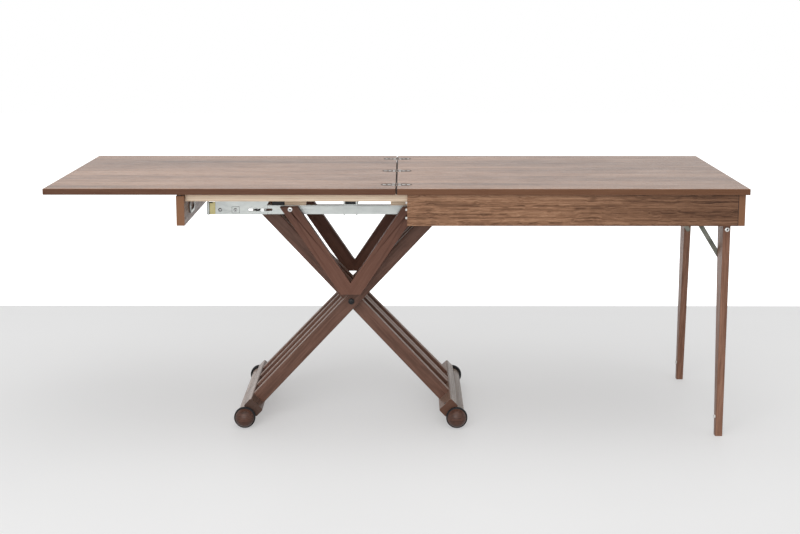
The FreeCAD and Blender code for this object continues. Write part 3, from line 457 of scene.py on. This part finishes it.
for material, names in (
    (bare_ply, ("runners", "cross_boards", "rail_blocks", "guide_cleats")),
    (zinc, ("height_latch_plates", "end_board_brackets", "rail_spreader")),
    (brown_lacquer, ("leg_plates",)),
    (bright_steel, ("carriage_bolts", "leg_pivot_bolts", "hinge_pins", "pivot_shaft", "pivot_washers")),
    (yellow_zinc, ("rail_end_caps",)),
    (black_plastic, ("pivot_caps",)),
    (white_nylon, ("docking_pins",)),
):
    for name in names:
        paint[name] = material
for name, material in paint.items():
    nodes[name].data.materials.clear()
    nodes[name].data.materials.append(material)

# Softened edges on the sawn boards, cut plates and turned pins

BOARD_EDGE = 0.9 * MM
PLATE_EDGE = 0.4 * MM
RING_EDGE = 1.2 * MM
PIN_EDGE = 1.6 * MM
WELD_DISTANCE = 0.01 * MM
EDGE_ANGLE = math.radians(50)
EDGE_STEPS = 3


def soften(item, width):
    """Small rounded edges where the faces of a piece meet sharply."""
    item.modifiers.new("joined_faces", "WELD").merge_threshold = WELD_DISTANCE
    bevel = item.modifiers.new("soft_edges", "BEVEL")
    bevel.width = width
    bevel.segments = EDGE_STEPS
    bevel.limit_method = "ANGLE"
    bevel.angle_limit = EDGE_ANGLE
    bevel.harden_normals = True


for width, names in (
    (BOARD_EDGE, ("front_apron", "rear_apron", "right_end_board", "left_end_board")),
    (BOARD_EDGE, ("runners", "cross_boards", "rail_blocks", "guide_cleats", "front_truss", "rear_truss")),
    (PLATE_EDGE, ("front_rail", "rear_rail", "rail_end_caps", "height_latch_plates", "leg_plates")),
    (PLATE_EDGE, ("rail_spreader", "front_brace", "rear_brace")),
    (RING_EDGE, ("end_board_brackets",)),
    (PIN_EDGE, ("docking_pins",)),
):
    for name in names:
        soften(nodes[name], width)

# Small fittings: screw and bolt heads, painted shadow rims round the hinges, rail clips, latch hooks and
# the like

ROUND_POINTS = 32
SHARP_ANGLE = math.radians(35)
# How far each head is turned from the one before it, in radians
HEAD_TURN = 0.7
# Shares of a head's radius and height, from its foot to the flat round its recess
HEAD_SHARES = ((1.0, 0.0), (1.0, 0.45), (0.94, 0.75), (0.80, 1.0))
RECESS_FLOOR_SHARE = 0.3
# Sizes of the recesses as shares of a head's radius
CROSS_ARM_SHARE = 0.56
CROSS_HALF_SHARE = 0.13
HEXAGON_SHARE = 0.48
DISH_SHARE = 0.62
DOME_STEPS = 6
CORNER_STEPS = 6


def circle(radius, count=ROUND_POINTS):
    turns = [2 * math.pi * n / count for n in range(count)]
    return [(radius * math.cos(turn), radius * math.sin(turn)) for turn in turns]


def cross_outline(arm, half):
    """A cross with arms of one length and half width."""
    corner = [(arm, -half), (arm, half), (half, half)]
    quarters = [Matrix.Rotation(n * math.pi / 2, 2) for n in range(4)]
    return [tuple(quarter @ Vector(point)) for quarter in quarters for point in corner]


CROSS = cross_outline(CROSS_ARM_SHARE, CROSS_HALF_SHARE)
HEXAGON = circle(HEXAGON_SHARE, 6)
DISH = circle(DISH_SHARE)


def stand(point, normal, spin=0.0):
    """The matrix that stands a fitting on a point, with its Z axis along a normal."""
    turn = Vector(normal).to_track_quat("Z", "Y").to_matrix().to_4x4()
    return Matrix.Translation(point) @ turn @ Matrix.Rotation(spin, 4, "Z")


def upright(sign):
    """The matrix that stands a flat shape up, so that it faces out of its own side of the table."""
    return Matrix(((1, 0, 0, 0), (0, 0, sign, 0), (0, 1, 0, 0), (0, 0, 0, 1)))


def spread(low, high, shares):
    """Places at shares of the way from one place to another."""
    return [low + (high - low) * share for share in shares]


def add_loop(shape, outline, height):
    return [shape.verts.new((x, y, height)) for x, y in outline]


def add_wall(shape, low, high):
    """The faces between two loops with the same number of points."""
    for n, vertex in enumerate(low):
        after = (n + 1) % len(low)
        shape.faces.new((vertex, low[after], high[after], high[n]))


def add_slab(shape, outline, low, high):
    """A flat shape with a closed outline, between two heights. Returns its points."""
    bottom, top = add_loop(shape, outline, low), add_loop(shape, outline, high)
    add_wall(shape, bottom, top)
    shape.faces.new(bottom[::-1])
    shape.faces.new(top)
    return bottom + top


def add_dome(shape, radius, height):
    """A round cap that rises from a rim to a point on its axis. Returns its points."""
    loops = []
    for n in range(DOME_STEPS):
        turn = math.pi / 2 * n / DOME_STEPS
        loops.append(add_loop(shape, circle(radius * math.cos(turn)), height * math.sin(turn)))
    for low, high in zip(loops, loops[1:]):
        add_wall(shape, low, high)
    tip = shape.verts.new((0, 0, height))
    for n, vertex in enumerate(loops[-1]):
        shape.faces.new((vertex, loops[-1][(n + 1) % ROUND_POINTS], tip))
    shape.faces.new(loops[0][::-1])
    return [vertex for loop in loops for vertex in loop] + [tip]


def add_head(shape, radius, height, recess):
    """A screw or bolt head with a rounded rim and a recess sunk into its top, the recess painted dark as
    shade. Returns its points.
    """
    loops = [add_loop(shape, circle(radius * share), height * rise) for share, rise in HEAD_SHARES]
    for low, high in zip(loops, loops[1:]):
        add_wall(shape, low, high)
    shape.faces.new(loops[0][::-1])
    outline = [(x * radius, y * radius) for x, y in recess]
    upper, lower = add_loop(shape, outline, height), add_loop(shape, outline, height * RECESS_FLOOR_SHARE)
    rims = []
    for loop in (loops[-1], upper):
        for pair in zip(loop, loop[1:] + loop[:1]):
            rims.append(shape.edges.get(pair) or shape.edges.new(pair))
    bmesh.ops.triangle_fill(shape, use_beauty=True, edges=rims)
    add_wall(shape, upper, lower)
    shape.faces.new(lower)
    # The recess's walls and floor take the second material: painted shade in the hollow
    for face in {face for vertex in lower for face in vertex.link_faces}:
        face.material_index = 1
    return [vertex for loop in loops for vertex in loop] + upper + lower


def add_piece(name, shape, materials, body):
    """Makes a shape into a piece that rides on one of the table's bodies."""
    bmesh.ops.recalc_face_normals(shape, faces=shape.faces)
    mesh = bpy.data.meshes.new(name)
    shape.to_mesh(mesh)
    shape.free()
    mesh.polygons.foreach_set("use_smooth", [True] * len(mesh.polygons))
    mesh.set_sharp_from_angle(angle=SHARP_ANGLE)
    for material in materials:
        mesh.materials.append(material)
    piece = bpy.data.objects.new(name, mesh)
    bpy.context.scene.collection.objects.link(piece)
    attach(piece, body)
    return piece


def add_heads(name, body, radius, height, recess, points, normal, material=None):
    """One piece with the same head at each of several points."""
    shape = bmesh.new()
    for n, point in enumerate(points):
        fresh = add_head(shape, radius, height, recess)
        bmesh.ops.transform(shape, matrix=stand(point, normal, n * HEAD_TURN), verts=fresh)
    # The second material, black, is painted shade in the recesses
    add_piece(name, shape, [material or bright_steel, black_plastic], body)


def add_domes(name, body, radius, height, points, normal, material):
    """One piece with the same dome at each of several points."""
    shape = bmesh.new()
    for point in points:
        bmesh.ops.transform(shape, matrix=stand(point, normal), verts=add_dome(shape, radius, height))
    add_piece(name, shape, [material], body)


def add_slabs(name, body, material, slabs, matrix, edge):
    """One piece made of flat shapes with softened edges. A slab is an outline and its two heights."""
    shape = bmesh.new()
    for outline, low, high in slabs:
        bmesh.ops.transform(shape, matrix=matrix, verts=add_slab(shape, outline, low, high))
    soften(add_piece(name, shape, [material], body), edge)


def rounded_bar(left, right, low, high, radius):
    """The outline of a rectangle with rounded corners."""
    outline = []
    corners = ((right, high, 1, 1), (left, high, -1, 1), (left, low, -1, -1), (right, low, 1, -1))
    for quarter, (x, y, x_sign, y_sign) in enumerate(corners):
        for n in range(CORNER_STEPS + 1):
            turn = math.pi / 2 * (quarter + n / CORNER_STEPS)
            x_offset = math.cos(turn) - x_sign
            y_offset = math.sin(turn) - y_sign
            outline.append((x + radius * x_offset, y + radius * y_offset))
    return outline


# Seam: hinge screws, a dark rim round each hinge plate that is painted shadow in the gap, and the strip
# under the hinges, whose near-black colour is painted shade in the seam

SEAM_EDGE = 2.5 * MM
HINGE_HALF = 20 * MM
HINGE_ROUND = 23.5 * MM
HINGE_LINES = (-273 * MM, 0, 273 * MM)
HINGE_SCREW_RADIUS = 4.4 * MM
HINGE_SCREW_RISE = 0.35 * MM
HINGE_SCREWS = ((9 * MM, -12 * MM), (9 * MM, 12 * MM), (21 * MM, 0), (35 * MM, 0))
HINGE_SHADOW_WIDTH = 1.5 * MM
HINGE_SHADOW_RISE = 0.1 * MM
LEAF_BODIES = {"left": "left_leaf", "right": "table_box"}


def hinge_path(half, sign):
    """Half a hinge plate's outline: along one side, round the far end and back to the seam."""
    turns = [math.pi * (n / ROUND_POINTS - 0.5) for n in range(ROUND_POINTS + 1)]
    bend = [(HINGE_ROUND + half * math.cos(turn), half * math.sin(turn)) for turn in turns]
    return [(sign * x, y) for x, y in [(SEAM_EDGE, -half), *bend, (SEAM_EDGE, half)]]


for end, sign in ENDS.items():
    add_heads(
        end + "_hinge_screws", LEAF_BODIES[end], HINGE_SCREW_RADIUS, HINGE_SCREW_RISE, CROSS,
        [(sign * x, line + y, table_top) for line in HINGE_LINES for x, y in HINGE_SCREWS],
        (0, 0, 1), nickel,
    )
    # A dark rim round each plate: painted shadow in the gap between the plate and the top
    rim = hinge_path(HINGE_HALF + HINGE_SHADOW_WIDTH, sign) + hinge_path(HINGE_HALF, sign)[::-1]
    shape = bmesh.new()
    for line in HINGE_LINES:
        fresh = add_slab(shape, rim, -HINGE_SHADOW_WIDTH, HINGE_SHADOW_RISE)
        bmesh.ops.translate(shape, vec=(0, line, table_top), verts=fresh)
    add_piece(end + "_hinge_shadow_rims", shape, [rubber_and_shade], LEAF_BODIES[end])

# A dark strip under the hinges closes the seam; its near-black colour is painted shade for the deep gap
# between the leaves
STRIP_LEFT = -1.2 * MM
STRIP_TOP = 2.2 * MM
STRIP_EDGE = 1.2 * MM
leaf_low, leaf_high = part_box("right_leaf")
strip = rounded_bar(STRIP_LEFT, SEAM_EDGE, leaf_low.z + STRIP_EDGE, leaf_high.z - STRIP_TOP, STRIP_EDGE)
strip_turn = Matrix.Rotation(math.pi / 2, 4, "X")
add_slabs(
    "seam_strip", "table_box", seam_lacquer_and_shade,
    [(strip, leaf_low.y + STRIP_EDGE, leaf_high.y - STRIP_EDGE)], strip_turn, PLATE_EDGE,
)

# Carriage: bolts, latch, rail clips and stops, rail ends, ring and spreader screws

BOLT_SPREAD = 178 * MM
BOLT_HEIGHT = 660 * MM
BOLT_FACE = 177.5 * MM
BOLT_RADIUS = 6.4 * MM
BOLT_RISE = 1.8 * MM
RAIL_MIDDLE = 654.5 * MM
LATCH_FACE = 152.5 * MM
LATCH_SCREW_FACE = 154.5 * MM
LATCH_SCREWS = (-527 * MM, -481 * MM)
LATCH_SCREW_RADIUS = 3.7 * MM
LATCH_SCREW_RISE = 1.2 * MM
LATCH_WASHER_RADIUS = 5.6 * MM
LATCH_WASHER_RISE = 1.2 * MM
HOOK_RISE = 1.2 * MM
# The latch hook's outline in millimetres, up from the middle of the rail
HOOK = (
    (-407, 2.6), (-411, 3.0), (-414, 1.0), (-418, 2.8), (-422, 2.9), (-427, 0.6),
    (-425, -0.8), (-421, -1.2), (-417, -2.9), (-412, -2.6), (-407, -1.4),
)
CLIP_HALF = 21 * MM
CLIP_BAR = 5 * MM
CLIP_RISE = 0.9 * MM
CLIP_TOP = 685 * MM
CLIP_DROP = 4 * MM
CLIP_EDGE = 0.5 * MM
TAB_LEFT = -491 * MM
TAB_RIGHT = -470 * MM
TAB_HALF = 9 * MM
TAB_RISE = 0.8 * MM
TAB_SHADOW_WIDTH = 1 * MM
SHADOW_RIM_RISE = 0.3 * MM
STOP_LEFT = -372 * MM
STOP_RIGHT = -322 * MM
STOP_INSET = 3 * MM
PAD_HALF = 15.5 * MM
PAD_RISE = 11 * MM
PAD_DEPTH = 14 * MM
RIM_WIDTH = 6 * MM
RIM_RISE = 1.4 * MM
RIM_RADIUS = 2.8 * MM
RIM_SHADOW_WIDTH = 1.2 * MM
END_CLIP_LEFT = 5 * MM
END_CLIP_RIGHT = 17 * MM
END_CLIP_HEIGHT = 4 * MM
RING_SCREW_RADIUS = 3.2 * MM
RING_SCREW_RISE = 1 * MM
GAP_RISE = 0.1 * MM
RING_HALF = 41 * MM
RING_SCREW_REACH = 36.5 * MM
SPREADER_SCREW_INSET = 10 * MM

rail_low, rail_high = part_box("front_rail")
cap_low, cap_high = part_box("rail_end_caps")
ring_low, ring_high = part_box("end_board_brackets")
spreader_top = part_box("rail_spreader")[1].z
pad_top = spreader_top + PAD_RISE
rail_face = -rail_low.y
cap_face = -cap_low.y
ring_middle = (ring_low.z + ring_high.z) / 2
ring_offset = ring_high.y - RING_HALF
for side, sign in SIDES.items():
    outward = (0, sign, 0)
    facing_out = upright(sign)
    add_heads(
        side + "_truss_bolt_rims", "carriage", BOLT_RADIUS, BOLT_RISE, HEXAGON,
        [(pivot.x + hand * BOLT_SPREAD, sign * BOLT_FACE, BOLT_HEIGHT) for hand in ENDS.values()],
        outward,
    )
    add_heads(
        side + "_latch_screws", "carriage", LATCH_SCREW_RADIUS, LATCH_SCREW_RISE, DISH,
        [(x, sign * LATCH_SCREW_FACE, RAIL_MIDDLE) for x in LATCH_SCREWS], outward,
    )
    add_heads(
        side + "_latch_washers", "carriage", LATCH_WASHER_RADIUS, LATCH_WASHER_RISE, HEXAGON,
        [(x, sign * LATCH_FACE, RAIL_MIDDLE) for x in LATCH_SCREWS], outward,
        black_plastic,
    )
    # The latch tab, and a dark rim round it that is painted shadow in the gap round the tab
    for name, slot, material, margin, rise in (
        ("_latch_tab", "zinc_steel", zinc, 0, TAB_RISE),
        ("_latch_tab_shadow", "black_rubber", rubber_and_shade, TAB_SHADOW_WIDTH, SHADOW_RIM_RISE),
    ):
        tab = rounded_bar(
            TAB_LEFT - margin, TAB_RIGHT + margin,
            RAIL_MIDDLE - TAB_HALF - margin, RAIL_MIDDLE + TAB_HALF + margin, CLIP_EDGE,
        )
        add_slabs(
            side + name, "carriage", material,
            [(tab, LATCH_FACE, LATCH_FACE + rise)], facing_out, GAP_RISE,
        )
    hook = [(x * MM, RAIL_MIDDLE + z * MM) for x, z in HOOK]
    add_slabs(
        side + "_latch_hook", "carriage", black_plastic,
        [(hook, LATCH_FACE, LATCH_FACE + HOOK_RISE)], facing_out, CLIP_EDGE,
    )
    clip = [(
        rounded_bar(pivot.x - CLIP_HALF, pivot.x + CLIP_HALF, rail_low.z, rail_high.z, CLIP_EDGE),
        rail_face, rail_face + CLIP_RISE,
    )]
    for hand in ENDS.values():
        left, right = sorted((pivot.x + hand * CLIP_HALF, pivot.x + hand * (CLIP_HALF - CLIP_BAR)))
        clip.append((
            rounded_bar(left, right, spreader_top, CLIP_TOP, CLIP_EDGE), rail_face - CLIP_BAR, rail_face,
        ))
        clip.append((
            rounded_bar(left, right, rail_low.z - CLIP_DROP, rail_low.z, CLIP_EDGE),
            rail_face - CLIP_BAR, rail_face + CLIP_RISE,
        ))
    add_slabs(side + "_rail_clip", "carriage", zinc, clip, facing_out, PLATE_EDGE)
    stop = rounded_bar(STOP_LEFT, STOP_RIGHT, rail_high.z, pad_top, CLIP_EDGE)
    add_slabs(
        side + "_rail_stop", "carriage", black_plastic,
        [(stop, rail_face - PAD_DEPTH, rail_face - STOP_INSET)], facing_out, CLIP_EDGE,
    )
    pad = rounded_bar(pivot.x - PAD_HALF, pivot.x + PAD_HALF, spreader_top, pad_top, CLIP_BAR)
    add_slabs(
        side + "_clip_pad", "carriage", black_plastic,
        [(pad, rail_face - PAD_DEPTH, rail_face - CLIP_RISE)], facing_out, CLIP_EDGE,
    )
    rim = rounded_bar(cap_low.x, cap_low.x + RIM_WIDTH, cap_low.z, cap_high.z, RIM_RADIUS)
    add_slabs(
        side + "_rail_end_rim", "carriage", zinc,
        [(rim, cap_face - RIM_RISE, cap_face + RIM_RISE)], facing_out, CLIP_EDGE,
    )
    # A dark rim round the zinc rim: painted shadow along its edges on the end cap
    rim_shadow = rounded_bar(
        cap_low.x - RIM_SHADOW_WIDTH, cap_low.x + RIM_WIDTH + RIM_SHADOW_WIDTH, cap_low.z - RIM_SHADOW_WIDTH, cap_high.z, RIM_RADIUS
    )
    end_clip = rounded_bar(
        cap_low.x + END_CLIP_LEFT, cap_low.x + END_CLIP_RIGHT,
        cap_high.z - END_CLIP_HEIGHT, cap_high.z, CLIP_EDGE,
    )
    add_slabs(
        side + "_rail_end_clip_and_shadow", "carriage", rubber_and_shade,
        [
            (rim_shadow, cap_face - RIM_RISE, cap_face + SHADOW_RIM_RISE),
            (end_clip, cap_face, cap_face + RIM_RISE),
        ],
        facing_out, GAP_RISE,
    )
    add_heads(
        side + "_ring_screws", "carriage", RING_SCREW_RADIUS, RING_SCREW_RISE, CROSS,
        [
            (ring_high.x, sign * (ring_offset + hand * RING_SCREW_REACH), ring_middle)
            for hand in ENDS.values()
        ],
        (1, 0, 0),
    )
    add_heads(
        side + "_spreader_screw", "carriage", LATCH_SCREW_RADIUS, LATCH_SCREW_RISE, CROSS,
        [(pivot.x, sign * (rail_face - SPREADER_SCREW_INSET), spreader_top)], (0, 0, 1),
    )

# Box under the right leaf: leg bolts, screws of the leg plates and cleats, apron joints and brace rivets

LEG_BOLT_RADIUS = 5.9 * MM
LEG_BOLT_RISE = 1.8 * MM
PLATE_SCREW_RADIUS = 3.6 * MM
PLATE_SCREW_RISE = 1.4 * MM
PLATE_SCREW_INSET = 11 * MM
PLATE_SCREW_SHARES = (0.12, 0.5, 0.88)
CLEAT_SCREW_RADIUS = 3.2 * MM
CLEAT_SCREW_RISE = 0.6 * MM
CLEAT_SCREW_SHARES = (0.06, 0.28, 0.5, 0.72, 0.94)
RIVET_RADIUS = 5 * MM
RIVET_RISE = 1 * MM
PLATE_WALL = 3 * MM
BRACE_HALF = 6.75 * MM
GAP_HALF = 0.8 * MM

plate_low, plate_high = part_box("leg_plates")
cleat_low, cleat_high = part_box("guide_cleats")
apron_low, apron_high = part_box("rear_apron")
bolt_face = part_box("leg_pivot_bolts")[1].y
leg_pivot = joint_places["end_leg_front_fold"]
plate_flange = plate_high.z - PLATE_WALL
for side, sign in SIDES.items():
    add_heads(
        side + "_leg_bolt_rim", "table_box", LEG_BOLT_RADIUS, LEG_BOLT_RISE, HEXAGON,
        [(leg_pivot.x, sign * bolt_face, leg_pivot.z)], (0, sign, 0),
    )
    add_heads(
        side + "_leg_plate_screws", "table_box", PLATE_SCREW_RADIUS, PLATE_SCREW_RISE, CROSS,
        [
            (x, sign * (plate_high.y - PLATE_SCREW_INSET), plate_flange)
            for x in spread(plate_low.x, plate_high.x, PLATE_SCREW_SHARES)
        ],
        (0, 0, -1),
    )
    add_heads(
        side + "_cleat_screws", "table_box", CLEAT_SCREW_RADIUS, CLEAT_SCREW_RISE, CROSS,
        [
            (x, sign * (cleat_high.y - PLATE_SCREW_INSET), cleat_low.z)
            for x in spread(cleat_low.x, cleat_high.x, CLEAT_SCREW_SHARES)
        ],
        (0, 0, -1),
    )
    joint = rounded_bar(
        apron_high.x - GAP_HALF, apron_high.x + GAP_HALF, apron_low.z + GAP_HALF, apron_high.z, GAP_HALF
    )
    add_slabs(
        side + "_apron_joint", "table_box", rubber_and_shade,
        [(joint, apron_high.y - GAP_HALF, apron_high.y + GAP_RISE)], upright(sign), GAP_RISE,
    )
    brace_low, brace_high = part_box(side + "_brace")
    pin_end = brace_high.y if sign < 0 else brace_low.y
    add_domes(
        side + "_brace_rivet", "brace_" + side, RIVET_RADIUS, RIVET_RISE,
        [(brace_low.x + BRACE_HALF, pin_end, brace_high.z - BRACE_HALF)], (0, -sign, 0),
        brace_steel,
    )

# Scissor base: domes on the pivot caps and dark screws in the foot beams

CAP_RADIUS = 8.4 * MM
CAP_RISE = 2.2 * MM
SLAT_FOOT = 412.3 * MM
BEAM_SCREW_RADIUS = 3.2 * MM
BEAM_SCREW_RISE = 0.6 * MM
BEAM_SCREW_OFFSET = 194 * MM

pivot_cap_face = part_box("pivot_caps")[1].y
for side, sign in SIDES.items():
    add_domes(
        side + "_pivot_cap_dome", "leg_a", CAP_RADIUS, CAP_RISE,
        [(pivot.x, sign * pivot_cap_face, pivot.z)], (0, sign, 0), black_plastic,
    )
for leg, hand in (("leg_a", -1), ("leg_b", 1)):
    towards_foot = Vector((hand * math.cos(leg_angle), 0, -math.sin(leg_angle)))
    beam_face = pivot + towards_foot * SLAT_FOOT
    add_heads(
        leg + "_beam_screws", leg, BEAM_SCREW_RADIUS, BEAM_SCREW_RISE, CROSS,
        [beam_face + Vector((0, sign * BEAM_SCREW_OFFSET, 0)) for sign in SIDES.values()], -towards_foot,
        black_plastic,
    )

# Studio

FLOOR_EDGE = 1.27
FLOOR_GAP = 0.2 * MM
FLOOR_REACH = 9.0
FLOOR_GLOW = 0.36
FLOOR_CLOUD_SCALES = (0.7, 0.7, 0.7)
FLOOR_GREYS = ((0.44, 0.44, 0.44), (0.47, 0.47, 0.47))
BACKDROP_GREY = (0.8, 0.8, 0.8, 1.0)
AMBIENT = 0.52
# Place, target, size and power of each lamp
LAMPS = {
    "front_lamp": ((-1.0, -4.4, 2.3), (0.0, 0.0, 0.4), 4.0, 122.0),
    "top_lamp": ((0.4, -0.6, 4.2), (0.0, 0.0, 0.5), 3.5, 55.0),
}


def plane(name, low, high, material):
    """A level rectangle between two corners, just under the feet."""
    mesh = bpy.data.meshes.new(name)
    corners = [(x, y, -FLOOR_GAP) for x, y in (low, (high[0], low[1]), high, (low[0], high[1]))]
    mesh.from_pydata(corners, [], [range(len(corners))])
    item = bpy.data.objects.new(name, mesh)
    bpy.context.scene.collection.objects.link(item)
    mesh.materials.append(material)


def seen_directly(tree):
    """1 for rays from the camera, or from a mirror or glass, and 0 for rays that light the object."""
    path = add_node(tree, "LightPath").outputs
    either = calculate(tree, "MAXIMUM", path["Is Camera Ray"], path["Is Glossy Ray"])
    return calculate(tree, "MAXIMUM", either, path["Is Transmission Ray"])


floor_paint, floor_tree, floor_surface = new_shader("floor_paint", roughness=0.6, specular=0.2)
floor_place = add_node(floor_tree, "TexCoord").outputs["Object"]
floor_clouds = stretched_noise(floor_tree, floor_place, FLOOR_CLOUD_SCALES, detail=3.0)
floor_colour = ramp(floor_tree, floor_clouds, list(zip(NOISE_RANGE, FLOOR_GREYS)))
floor_tree.links.new(floor_colour, floor_surface.inputs["Base Color"])
floor_surface.inputs["Emission Color"].default_value = WHITE
floor_glow = calculate(floor_tree, "MULTIPLY", seen_directly(floor_tree), FLOOR_GLOW)
floor_tree.links.new(floor_glow, floor_surface.inputs["Emission Strength"])
plane("floor", (-FLOOR_REACH, -FLOOR_REACH), (FLOOR_REACH, FLOOR_EDGE), floor_paint)

back_paint, back_tree, back_surface = new_shader("backdrop_paint", roughness=0.9, specular=0.0)
back_surface.inputs["Base Color"].default_value = BACKDROP_GREY
back_surface.inputs["Emission Color"].default_value = WHITE
back_tree.links.new(seen_directly(back_tree), back_surface.inputs["Emission Strength"])
plane("backdrop_floor", (-FLOOR_REACH, FLOOR_EDGE), (FLOOR_REACH, FLOOR_REACH), back_paint)

world = bpy.data.worlds.new("studio")
bpy.context.scene.world = world
world.use_nodes = True
background = world.node_tree.nodes["Background"]
background.inputs["Color"].default_value = WHITE
world_light = remap(world.node_tree, seen_directly(world.node_tree), 0.0, 1.0, AMBIENT, 1.0)
world.node_tree.links.new(world_light, background.inputs["Strength"])


def soft_lamp(name, place, target, size, power):
    """A large square lamp at a place, facing a target."""
    lamp = bpy.data.lights.new(name, "AREA")
    lamp.size = size
    lamp.energy = power
    item = bpy.data.objects.new(name, lamp)
    item.location = place
    item.rotation_euler = (Vector(target) - Vector(place)).to_track_quat("-Z", "Y").to_euler()
    bpy.context.scene.collection.objects.link(item)


for name, settings in LAMPS.items():
    soft_lamp(name, *settings)

# Camera

CAMERA_PLACE = (0.0219, -3.9934, 1.3363)
CAMERA_TILT = math.radians(9.06)
CAMERA_YAW = math.radians(0.178)

lens = bpy.data.cameras.new("camera")
lens.sensor_width = 36.0
lens.lens = 58.84
lens.shift_y = -0.1
camera = bpy.data.objects.new("camera", lens)
camera.location = CAMERA_PLACE
camera.rotation_euler = (math.pi / 2 - CAMERA_TILT, 0.0, CAMERA_YAW)
bpy.context.scene.collection.objects.link(camera)
bpy.context.scene.camera = camera
bpy.context.scene.view_settings.view_transform = "Standard"
